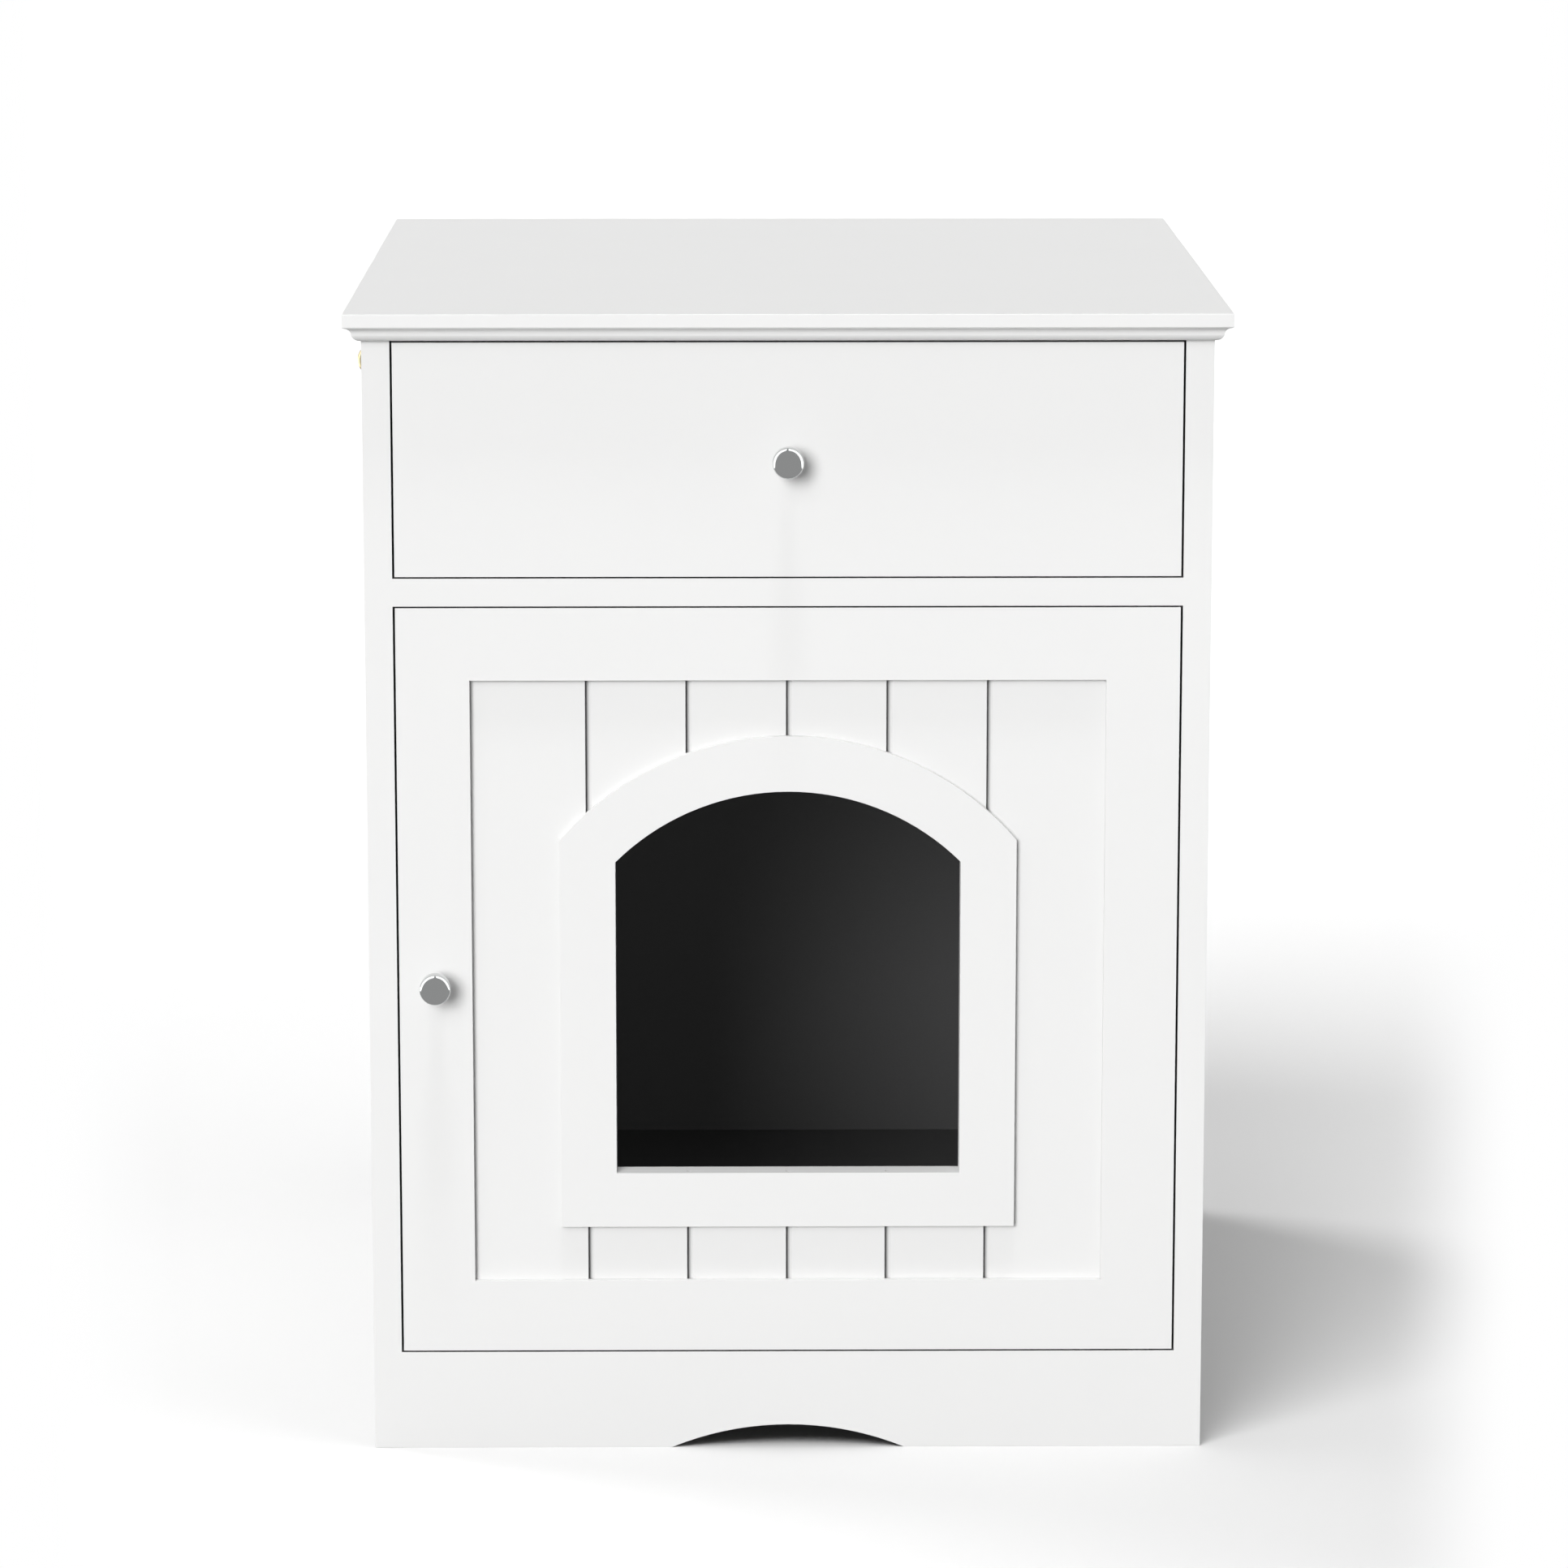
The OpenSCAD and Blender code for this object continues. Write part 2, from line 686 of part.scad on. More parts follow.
// Brass hook for the scoop, screwed into the left side panel: a three-quarter ring in the XZ plane
hook_line_r = hook_r - hook_wire / 2;   // radius of the wire's centre line
hook_pin_z = hook_z + hook_line_r;      // height of the threaded shank
hook_bend = 235;                        // angle that the wire is bent through
hook_shank_d = hook_wire + 0.3;
hook_tip_d = hook_wire + 0.8;
module scoop_hook() {
  color(brass) {
    translate([hook_x, hook_y, hook_z]) rotate([90, 0, 0]) rotate([0, 0, 90])
      rotate_extrude(angle = hook_bend) translate([hook_line_r, 0]) circle(d = hook_wire);
    translate([hook_x, hook_y, hook_z]) rotate([90, 0, 0]) rotate([0, 0, 90 + hook_bend])
      translate([hook_line_r, 0]) sphere(d = hook_tip_d);
    rod_x([hook_x - slip, hook_y, hook_pin_z], hook_shank_d, -half + hook_thread - hook_x + slip);
    rod_x([-half - hook_collar, hook_y, hook_pin_z], hook_collar_d, hook_collar);
  }
}

// ---------- door ----------

// A stile on the right, grooved for the panel and the rails' tongues, bored for the bushes
module stile() {
  difference() {
    box([field_half, yf, door_z0], [front_half, door_back, door_z1]);
    box([field_half - over, panel_y - fit, door_z0 - over],
        [field_half + panel_groove, panel_y + panel_t + fit, door_z1 + over]);
  }
}
module bush_holes() {
  rod_z([pivot_x, pivot_y, door_z0 - over], bush_d + 2 * fit, bush_l + over + fit);
  rod_z([pivot_x, pivot_y, door_z1 - bush_l - fit], bush_d + 2 * fit, bush_l + over + fit);
}
module door_stile_right() { color(white) difference() { stile(); bush_holes(); } }
module door_stile_left() {
  color(white) difference() {
    mirror([1, 0, 0]) stile();
    translate([knob_x, yf, knob_z]) knob_screw_hole(front_t);
  }
}

// A rail that starts at z0, with tongues at its ends; up tells which edge holds the panel
module rail(z0, up) {
  g = up ? z0 + stile_w - panel_groove : z0 - over;
  difference() {
    union() {
      box([-field_half, yf, z0], [field_half, door_back, z0 + stile_w]);
      box([-field_half - tongue, panel_y, z0], [field_half + tongue, panel_y + panel_t, z0 + stile_w]);
    }
    box([-front_half, panel_y - fit, g], [front_half, panel_y + panel_t + fit, g + panel_groove + over]);
  }
}
module door_rail_lower() { color(white) rail(door_z0, true); }
module door_rail_upper() {
  color(white) difference() {
    rail(door_z1 - stile_w, false);
    for (x = strike_screw_x) translate([catch_x + x, door_back, strike_z]) rotate([-90, 0, 0])
      translate([0, 0, strike_t]) wood_screw_hole();
  }
}

module door_panel() {
  h = field_half + tongue;
  color(white) difference() {
    box([-h, panel_y, field_z0 - tongue], [h, panel_y + panel_t, field_z1 + tongue]);
    slab_y(panel_y - over, panel_t + 2 * over) arch_shape(0);
    for (i = [-2:2]) translate([i * plank_w, panel_y, field_z0 - panel_groove - over])
      linear_extrude(field_z1 - field_z0 + 2 * panel_groove + 2 * over) polygon([
        [-plank_square, -over], [-plank_square, plank_groove_d], [slip * 2 - plank_square, plank_groove_d],
        [plank_groove_w - plank_square, 0], [plank_groove_w - plank_square, -over]
      ]);
  }
}

module arch_ring() { difference() { arch_shape(trim_w); arch_shape(0); } }
module arch_trim_front() { color(white) slab_y(yf, recess) arch_ring(); }
module arch_trim_rear() { color(white) slab_y(panel_y + panel_t, rear_trim_t) arch_ring(); }

module bush() {
  difference() {
    union() {
      rod_z([0, 0, 0], bush_d, bush_l);
      rod_z([0, 0, -bush_flange], bush_flange_d, bush_flange);
    }
    rod_z([0, 0, -bush_flange - over], pin_d + 2 * spin, bush_l + bush_flange);
  }
}
module pivot_bushes() {
  color(black) {
    translate([pivot_x, pivot_y, door_z0]) bush();
    translate([pivot_x, pivot_y, door_z1]) mirror([0, 0, 1]) bush();
  }
}

module door_knob() { color(chrome) translate([knob_x, yf, knob_z]) knob(); }
module door_knob_screw() { color(zinc) translate([knob_x, yf, knob_z]) knob_screw(front_t); }

strike_screw_x = [-12, 12];
strike_z = door_z1 - 3 - strike_h / 2;
module strike_plate() {
  color(steel) difference() {
    box([catch_x - strike_w / 2, door_back, strike_z - strike_h / 2],
        [catch_x + strike_w / 2, door_back + strike_t, strike_z + strike_h / 2]);
    for (x = strike_screw_x) translate([catch_x + x, door_back, strike_z]) rotate([-90, 0, 0])
      translate([0, 0, strike_t]) wood_screw_hole();
  }
}
module strike_screws() {
  color(zinc) for (x = strike_screw_x) translate([catch_x + x, door_back, strike_z]) rotate([-90, 0, 0])
    translate([0, 0, strike_t]) wood_screw();
}

// ---------- drawer ----------

peg_x = box_half + drawer_t / 2;
module drawer_front() {
  color(white) difference() {
    box([-front_half, yf, drawer_z0], [front_half, box_y, drawer_z1]);
    translate([0, yf, drawer_knob_z]) knob_screw_hole(front_t);
    both_sides() for (z = peg_z) rod_y([peg_x, box_y - peg_l / 2 - fit, z], peg_d + 2 * fit, peg_l);
    box([-box_half - bottom_in, box_y - bottom_in, bottom_z - fit],
        [box_half + bottom_in, box_y + over, bottom_z + drawer_bottom_t + fit]);
  }
}

module drawer_side() {
  difference() {
    box([box_half, box_y, side_z], [room_in, box_y + box_l, side_z + drawer_h]);
    box([box_half - over, box_y - over, bottom_z - fit],
        [box_half + bottom_in, box_y + box_l + over, bottom_z + drawer_bottom_t + fit]);
    for (z = peg_z) rod_y([peg_x, box_y - over, z], peg_d + 2 * fit, over + peg_l / 2 + fit);
    for (y = runner_screw_y)
      rod_z([room_in - drawer_t / 2, rail_y + y, side_z - over], wood_screw_d + 2 * fit,
            over + rail_screw_l - steel_t + fit);
  }
}
module drawer_side_right() { color(white) drawer_side(); }
module drawer_side_left() { color(white) mirror([1, 0, 0]) drawer_side(); }

module drawer_back() {
  y1 = box_y + box_l;
  color(white) box([-box_half, y1 - drawer_t, bottom_z + drawer_bottom_t + fit],
                   [box_half, y1, side_z + drawer_h]);
}

module drawer_bottom() {
  g = bottom_in - slip;
  color(dark) box([-box_half - g, box_y - g, bottom_z], [box_half + g, box_y + box_l, bottom_z + drawer_bottom_t]);
}

module drawer_dowels() {
  color(beech) both_sides() for (z = peg_z) rod_y([peg_x, box_y - peg_l / 2, z], peg_d, peg_l);
}

module drawer_knob() { color(chrome) translate([0, yf, drawer_knob_z]) knob(); }
module drawer_knob_screw() { color(zinc) translate([0, yf, drawer_knob_z]) knob_screw(front_t); }

top_panel();
side_panel_left();
side_panel_right();
divider_shelf();
floor_panel();
kick_board();
back_panel();
rear_top_rail();
rear_base_rail();
confirmat_screws();
screw_caps();
cam_discs();
cam_bolts();
wood_dowels();
runner_left();
runner_right();
runner_axles();
runner_screws();
front_roller_left();
front_roller_right();
pivot_plate_lower();
pivot_plate_upper();
pivot_screws();
catch_housing();
catch_poles();
catch_screws();
scoop_hook();
door_stile_left();
door_stile_right();
door_rail_upper();
door_rail_lower();
door_panel();
arch_trim_front();
arch_trim_rear();
pivot_bushes();
door_knob();
door_knob_screw();
strike_plate();
strike_screws();
drawer_front();
drawer_side_left();
drawer_side_right();
drawer_back();
drawer_bottom();
drawer_dowels();
drawer_knob();
drawer_knob_screw();
drawer_runner_left();
drawer_runner_right();
drawer_axles();
drawer_runner_screws();
rear_roller_left();
rear_roller_right();
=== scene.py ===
# Cabinet litter box with a drawer over a side-hung door with an arched cat entrance.
# Everything is in metres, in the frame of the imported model: +X right, +Y back, +Z up.
from math import cos, pi, radians, sin

import bmesh
import bpy
from mathutils import Matrix, Vector


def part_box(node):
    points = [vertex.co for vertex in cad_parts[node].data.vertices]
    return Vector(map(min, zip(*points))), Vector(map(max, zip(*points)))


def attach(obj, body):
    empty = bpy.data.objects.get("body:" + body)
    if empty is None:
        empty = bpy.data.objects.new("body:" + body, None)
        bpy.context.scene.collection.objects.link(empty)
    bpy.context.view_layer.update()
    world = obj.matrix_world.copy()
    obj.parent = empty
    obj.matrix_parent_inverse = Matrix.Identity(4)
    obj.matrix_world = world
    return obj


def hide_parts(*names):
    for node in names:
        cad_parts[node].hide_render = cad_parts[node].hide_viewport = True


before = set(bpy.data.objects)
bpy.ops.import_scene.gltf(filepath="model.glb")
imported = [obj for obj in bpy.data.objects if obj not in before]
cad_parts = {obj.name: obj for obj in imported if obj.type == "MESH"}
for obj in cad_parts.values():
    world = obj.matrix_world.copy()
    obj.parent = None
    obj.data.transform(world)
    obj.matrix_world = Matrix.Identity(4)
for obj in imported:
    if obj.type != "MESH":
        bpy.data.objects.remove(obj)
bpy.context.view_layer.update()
scene = bpy.context.scene
mm = 0.001
weld = 0.002 * mm                             # points of a CAD mesh that lie closer than this are one

# planes that several pieces share
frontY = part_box("kick_board")[0].y            # face of the carcass, the door and the drawer
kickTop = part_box("kick_board")[1].z
shelfUnder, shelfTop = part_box("divider_shelf")[0].z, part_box("divider_shelf")[1].z
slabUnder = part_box("top_panel")[0].z
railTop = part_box("door_rail_lower")[1].z      # lower edge of the recessed field
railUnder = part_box("door_rail_upper")[0].z    # upper edge of the recessed field
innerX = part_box("kick_board")[1].x            # inner face of the side panels


# sums on sockets, for shaders and for Geometry Nodes

class Value:
    # one output of a node, used in plain sums
    def __init__(self, graph, socket):
        self.graph, self.socket = graph, socket

    def maths(self, operation, *given):
        return self.graph.add("ShaderNodeMath", {"operation": operation}, dict(enumerate(given)))

    def __add__(self, other): return self.maths("ADD", self, other)
    def __radd__(self, other): return self.maths("ADD", other, self)
    def __sub__(self, other): return self.maths("SUBTRACT", self, other)
    def __rsub__(self, other): return self.maths("SUBTRACT", other, self)
    def __mul__(self, other): return self.maths("MULTIPLY", self, other)
    def __rmul__(self, other): return self.maths("MULTIPLY", other, self)
    def __truediv__(self, other): return self.maths("DIVIDE", self, other)
    def __gt__(self, other): return self.maths("GREATER_THAN", self, other)
    def __lt__(self, other): return self.maths("LESS_THAN", self, other)
    def __neg__(self): return self.maths("MULTIPLY", self, -1)
    def __abs__(self): return self.maths("ABSOLUTE", self)
    def most(self, other): return self.maths("MAXIMUM", self, other)
    def root(self): return self.maths("SQRT", self)
    def sine(self): return self.maths("SINE", self)
    def rounded(self): return self.maths("ROUND", self)


class Graph:
    def __init__(self, tree, family="ShaderNode"):
        self.tree, self.family = tree, family
        tree.nodes.clear()

    def add(self, kind, settings=None, inputs=None, output=0):
        # settings are made first, because they change which sockets a node has
        node = self.tree.nodes.new(kind if "Node" in kind else self.family + kind)
        for name, setting in (settings or {}).items():
            setattr(node, name, setting)
        for name, given in (inputs or {}).items():
            for value in given if isinstance(given, list) else [given]:
                if isinstance(value, Value):
                    self.tree.links.new(value.socket, node.inputs[name])
                else:
                    node.inputs[name].default_value = value
        return Value(self, node.outputs[output]) if len(node.outputs) else None

    def mix(self, factor, first, second):
        # two colours
        return self.add("Mix", {"data_type": "RGBA"}, {0: factor, 6: colour4(first), 7: colour4(second)}, 2)

    def smooth(self, value, low, high, toLow=0.0, toHigh=1.0):
        # a soft step from toLow, where the value is low, to toHigh
        return self.add("MapRange", {"interpolation_type": "SMOOTHSTEP"},
                        {0: value, 1: low, 2: high, 3: toLow, 4: toHigh})

    def place(self, scale=(1, 1, 1)):
        # the point in the part's own frame, stretched
        coords = self.add("TexCoord", output=3)
        if scale == (1, 1, 1):
            return coords
        return self.add("VectorMath", {"operation": "MULTIPLY"}, {0: coords, 1: scale})

    def xyz(self):
        split = self.add("SeparateXYZ", inputs={0: self.place()})
        return [Value(self, output) for output in split.socket.node.outputs]

    def noise(self, scale, detail=2.0, roughness=0.5, stretch=(1, 1, 1)):
        return self.add("TexNoise", inputs={"Vector": self.place(stretch), "Scale": scale,
                                            "Detail": detail, "Roughness": roughness})


def colour4(value):
    return value if isinstance(value, Value) else (*value, 1)


def newMaterial(name, bump=None, **sockets):
    # sockets: names of the shader's inputs with _ for a space; values or functions of the graph
    material = bpy.data.materials.new(name)
    material.use_nodes = True
    graph = Graph(material.node_tree)
    made = {}
    for socket, given in sockets.items():
        given = given(graph) if callable(given) else given
        if isinstance(given, tuple) and len(given) == 3:
            given = (*given, 1)
        made[socket.replace("_", " ")] = given
    if bump:
        height, strength, distance = bump
        made["Normal"] = graph.add("Bump", inputs={
            "Height": height(graph), "Strength": strength, "Distance": distance})
    shader = graph.add("BsdfPrincipled", inputs=made)
    graph.add("OutputMaterial", inputs={"Surface": shader})
    return material


# finishes

paint = {
    "white": (0.855, 0.855, 0.850),
    "whiteLow": (0.842, 0.842, 0.838),   # faint unevenness of a sprayed coat
    "gloss": 0.54,
    "glossSpread": 0.12,
    "ior": 1.48,
    "specular": 0.35,
    "peelScale": 620,                    # orange peel, about 1.6 mm across
    "peelStrength": 0.5,
    "peelHeight": 0.012 * mm,
}
charcoal = {"colour": (0.098, 0.098, 0.099), "light": (0.116, 0.116, 0.117), "gloss": 0.62}
nearBlack = {"colour": (0.012, 0.012, 0.012), "light": (0.020, 0.020, 0.020)}
# where the charcoal lining begins and ends
lining = {
    "room": 0.15 * mm,        # over the faces that it covers
    "start": 0.35 * mm,       # behind the front, so the faces in the gaps round the door and the drawer are charcoal too, as painted shade
    "slabShadeStart": -1.9 * mm,   # under the top board it comes forward, as a painted shadow line over the drawer
    "rimRoom": 0.05 * mm,     # over the outer edges of the door and of the drawer front
    "rimBand": 0.35 * mm,     # white at both faces of those edges
    "shadeLine": 0.4 * mm,      # a painted shade line along the top of the drawer front's face
}


def paintColour(graph):
    return graph.mix(graph.noise(9, 3), paint["whiteLow"], paint["white"])


def paintGloss(graph):
    return paint["gloss"] + (graph.noise(240, 2) - 0.5) * paint["glossSpread"]


def orangePeel(graph):
    return graph.noise(paint["peelScale"], 2, 0.55) + graph.noise(70, 2) * 0.6


def charcoalColour(graph):
    return graph.mix(graph.noise(900, 3, 0.6), charcoal["colour"], charcoal["light"])


def inside(graph, plane=None):
    # 1 on the carcass faces that line the drawer space and the litter space,
    # and on the faces in the gaps just behind the front, as painted shade;
    # with a plane, only what is under the top board (above) or over the kick board's top (below)
    x, y, z = graph.xyz()
    room = lining["room"]
    start = lining["slabShadeStart" if plane == "above" else "start"]
    lined = (abs(x) < innerX + room) * (y > frontY + start) * (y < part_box("back_panel")[0].y)
    # under the top board the charcoal reaches in front of the carcass: a painted shadow line over the drawer
    if plane == "above":
        return lined * (z < slabUnder + room)
    if plane == "below":
        return lined * (z > kickTop - room)
    return lined


def rim(graph, *nodes, line=0.0):
    # 1 on the outer edges of a front made of these nodes, charcoal that also stands for the shade in the
    # gaps round it, and on a line along its top, 0 on its two faces
    x, y, z = graph.xyz()
    room, band = lining["rimRoom"], lining["rimBand"]
    low = [min(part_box(node)[0][i] for node in nodes) for i in range(3)]
    high = [max(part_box(node)[1][i] for node in nodes) for i in range(3)]
    out = (x < low[0] + room).most(x > high[0] - room).most(z < low[2] + room).most(z > high[2] - room)
    out = out * (y > low[1] + band) * (y < high[1] - band)
    # the line along the top is painted shade
    return out.most(z > high[2] - line) if line else out


def sprayed(name, colour=paintColour, roughness=paintGloss):
    return newMaterial(name, Base_Color=colour, Roughness=roughness,
                       IOR=paint["ior"], Specular_IOR_Level=paint["specular"],
                       bump=(orangePeel, paint["peelStrength"], paint["peelHeight"]))


def twoTone(name, mask):
    # white paint, and the charcoal finish where the mask is 1
    return sprayed(name, lambda g: g.mix(mask(g), paintColour(g), charcoalColour(g)),
                   lambda g: paintGloss(g) + mask(g) * (charcoal["gloss"] - paint["gloss"]))


def boardBack(graph):
    # screen marks on the rough side of the hardboard, faint on its smooth side
    x, y, z = graph.xyz()
    weave = 2 * pi / (1.3 * mm)
    marks = (x * weave).sine() * (z * weave).sine()
    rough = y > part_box("back_panel")[0].y + 2 * mm
    return marks * rough + graph.noise(1400, 3, 0.6) * 0.4


def beechGrain(graph):
    grain = graph.noise(160, 4, 0.6, (1, 12, 12))
    return graph.mix(grain, (0.50, 0.33, 0.19), (0.66, 0.47, 0.29))


whitePaint = sprayed("satinWhitePaint")
# the carcass and the kick board are charcoal inside, and in the gaps just behind the front as painted shade
carcassPaint = twoTone("whiteOutsideCharcoalInside", inside)
slabPaint = twoTone("whiteTopCharcoalUnder", lambda g: inside(g, "above"))
kickPaint = twoTone("whiteFaceCharcoalTop", lambda g: inside(g, "below"))
# the charcoal edges of the door and the drawer front also paint the shade in the gaps round them
doorPaint = twoTone("whiteDoorCharcoalEdges", lambda g: rim(g, "door_stile_left", "door_stile_right"))
drawerPaint = twoTone("whiteDrawerFrontCharcoalEdges",
                      lambda g: rim(g, "drawer_front", line=lining["shadeLine"]))
charcoalCoat = newMaterial("charcoalCoat", Base_Color=charcoalColour, Roughness=charcoal["gloss"],
                           bump=(lambda g: g.noise(1300, 3, 0.6), 0.4, 0.02 * mm))
hardboard = newMaterial("charcoalHardboard", Base_Color=charcoalColour,
                        Roughness=lambda g: 0.6 + g.noise(400, 2) * 0.1,
                        bump=(boardBack, 0.6, 0.06 * mm))
powderCoat = newMaterial("whitePowderCoat", Base_Color=(0.80, 0.80, 0.79),
                         Roughness=lambda g: 0.42 + g.noise(800, 2) * 0.12,
                         bump=(lambda g: g.noise(1500, 2, 0.4), 0.5, 0.03 * mm))
nylon = newMaterial("whiteNylon",
                    Base_Color=lambda g: g.mix(g.noise(60, 2), (0.78, 0.78, 0.75), (0.83, 0.83, 0.80)),
                    Roughness=lambda g: 0.36 + g.noise(500, 2) * 0.1,
                    bump=(lambda g: g.noise(900, 2), 0.25, 0.01 * mm))
blackNylon = newMaterial("blackNylon", Roughness=lambda g: 0.4 + g.noise(500, 2) * 0.1,
                         Base_Color=lambda g: g.mix(g.noise(60, 2), nearBlack["colour"], nearBlack["light"]))
zinc = newMaterial("zincPlate", Metallic=1.0,
                   Base_Color=lambda g: g.mix(g.noise(420, 3), (0.54, 0.54, 0.51), (0.66, 0.66, 0.65)),
                   Roughness=lambda g: 0.26 + g.noise(700, 3) * 0.22,
                   bump=(lambda g: g.noise(2500, 2), 0.3, 0.01 * mm))
steel = newMaterial("satinSteel", Metallic=1.0,
                    Base_Color=lambda g: g.mix(g.noise(300, 3), (0.52, 0.53, 0.54), (0.60, 0.61, 0.62)),
                    Roughness=lambda g: 0.28 + g.noise(500, 3, 0.6, (1, 14, 14)) * 0.2,
                    bump=(lambda g: g.noise(900, 3, 0.6, (1, 16, 16)), 0.35, 0.01 * mm))
chrome = newMaterial("polishedChrome", Metallic=1.0, Base_Color=(0.60, 0.61, 0.61),
                     Roughness=lambda g: 0.035 + g.noise(300, 2) * 0.03)
brass = newMaterial("polishedBrass", Metallic=1.0,
                    Base_Color=lambda g: g.mix(g.noise(260, 3), (0.60, 0.50, 0.29), (0.70, 0.60, 0.38)),
                    Roughness=lambda g: 0.16 + g.noise(420, 3) * 0.14)
beech = newMaterial("bareBeech", Base_Color=beechGrain, Roughness=0.62,
                    bump=(lambda g: g.noise(300, 4, 0.6, (1, 10, 10)), 0.4, 0.03 * mm))
print("finishes made")


# shared ways of making a piece

def mergedCopy(node):
    # a clean copy of a CAD node's mesh, with flat faces joined up
    bm = bmesh.new()
    bm.from_mesh(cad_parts[node].data)
    bmesh.ops.remove_doubles(bm, verts=bm.verts, dist=weld)
    bmesh.ops.dissolve_degenerate(bm, edges=bm.edges, dist=weld / 2)
    bmesh.ops.dissolve_limit(bm, angle_limit=radians(0.3), verts=bm.verts, edges=bm.edges)
    return bm


def bakeModifiers(piece):
    bpy.context.view_layer.update()
    done = bpy.data.meshes.new_from_object(piece.evaluated_get(bpy.context.evaluated_depsgraph_get()))
    piece.modifiers.clear()
    piece.data = done
    return done


def finished(shape, node, body, material, sharp=32, weighted=True):
    # a bmesh or a mesh becomes the piece that stands for a CAD node and rides on its body
    if isinstance(shape, bmesh.types.BMesh):
        mesh = bpy.data.meshes.new(node)
        shape.to_mesh(mesh)
        shape.free()
    else:
        mesh = shape
    if "custom_normal" in mesh.attributes:
        mesh.attributes.remove(mesh.attributes["custom_normal"])
    mesh.materials.clear()
    mesh.materials.append(material)
    for face in mesh.polygons:
        face.material_index = 0
    mesh.shade_smooth()
    mesh.set_sharp_from_angle(angle=radians(sharp))
    piece = bpy.data.objects.new(node.replace("_", "-"), mesh)
    scene.collection.objects.link(piece)
    if weighted:
        piece.modifiers.new("weighted", "WEIGHTED_NORMAL").keep_sharp = True
        bakeModifiers(piece)
    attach(piece, body)
    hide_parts(node)
    return piece


def softened(node, body, material, width, pick, cuts=()):
    # a board with its picked arrises rounded: pick gets an edge's middle and its direction,
    # and cuts are planes that end a rounding
    bm = mergedCopy(node)
    for axis, place in cuts:
        normal = Vector([int(i == axis) for i in range(3)])
        bmesh.ops.bisect_plane(bm, geom=bm.verts[:] + bm.edges[:] + bm.faces[:], dist=1e-6,
                               plane_co=normal * place, plane_no=normal)
    edges = [e for e in bm.edges if len(e.link_faces) == 2 and e.calc_face_angle(0) > radians(30)
             and pick((e.verts[0].co + e.verts[1].co) / 2, e.verts[1].co - e.verts[0].co)]
    bmesh.ops.bevel(bm, geom=edges, offset=width, offset_type="OFFSET", segments=2,
                    profile=0.5, affect="EDGES", clamp_overlap=True)
    return finished(bm, node, body, material)


def smoothed(node, body, material):
    # a CAD node whose shape is right, with its round faces shaded round
    return finished(mergedCopy(node), node, body, material)


def at(value, plane, room=0.02 * mm):
    return abs(value - plane) < room


def boxEdges(node, skip=None):
    # picks the edges that lie on two sides of the node's own box
    low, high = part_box(node)

    def pick(p, d):
        sides = sum(at(p[i], low[i]) or at(p[i], high[i]) for i in range(3))
        return sides >= 2 and not (skip and skip(p, d))
    return pick


def turned(profile, turns=64, base=None, ring=False):
    # a lathe shape round Z from (radius, height) pairs; a ring's profile closes on itself
    bm = bmesh.new()
    rings = []
    angles = [2 * pi * i / turns for i in range(turns)]
    for radius, height in profile:
        if radius < 1e-7:
            rings.append([bm.verts.new((0, 0, height))])
        else:
            rings.append([bm.verts.new((radius * cos(a), radius * sin(a), height)) for a in angles])
    for low, high in zip(rings, rings[1:] + rings[:1] if ring else rings[1:]):
        for i in range(turns):
            j = (i + 1) % turns
            corners = [low[i % len(low)], low[j % len(low)], high[j % len(high)], high[i % len(high)]]
            corners = list(dict.fromkeys(corners))
            if len(corners) > 2:
                bm.faces.new(corners)
    bmesh.ops.recalc_face_normals(bm, faces=bm.faces)
    if base is not None:
        bm.transform(base)
    return bm


def swept(path, radii, sides=24):
    # a round bar along points in the XZ plane, closed at both ends
    bm = bmesh.new()
    rings = []
    angles = [2 * pi * k / sides for k in range(sides)]
    across = Vector((0, 1, 0))
    for i, (point, radius) in enumerate(zip(path, radii)):
        along = (path[min(i + 1, len(path) - 1)] - path[max(i - 1, 0)]).normalized()
        out = across.cross(along)
        rings.append([bm.verts.new(point + (across * cos(a) + out * sin(a)) * radius) for a in angles])
    for low, high in zip(rings, rings[1:]):
        for k in range(sides):
            j = (k + 1) % sides
            bm.faces.new((low[k], low[j], high[j], high[k]))
    bm.faces.new(rings[0])
    bm.faces.new(rings[-1])
    bmesh.ops.recalc_face_normals(bm, faces=bm.faces)
    return bm


def arc(centre, radius, start, end, steps=8):
    # points of a rounding in a lathe profile, angles in degrees
    angles = [radians(start + (end - start) * i / steps) for i in range(steps + 1)]
    return [(centre[0] + radius * cos(a), centre[1] + radius * sin(a)) for a in angles]


def joined(*parts):
    # several bmeshes as one
    whole = bmesh.new()
    for part in parts:
        temp = bpy.data.meshes.new("part")
        part.to_mesh(temp)
        part.free()
        whole.from_mesh(temp)
        bpy.data.meshes.remove(temp)
    return whole


def coat(material, *nodes):
    # a CAD node whose shape is right keeps it and gets its finish
    for node in nodes:
        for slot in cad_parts[node].material_slots:
            slot.material = material


# Geometry Nodes trees

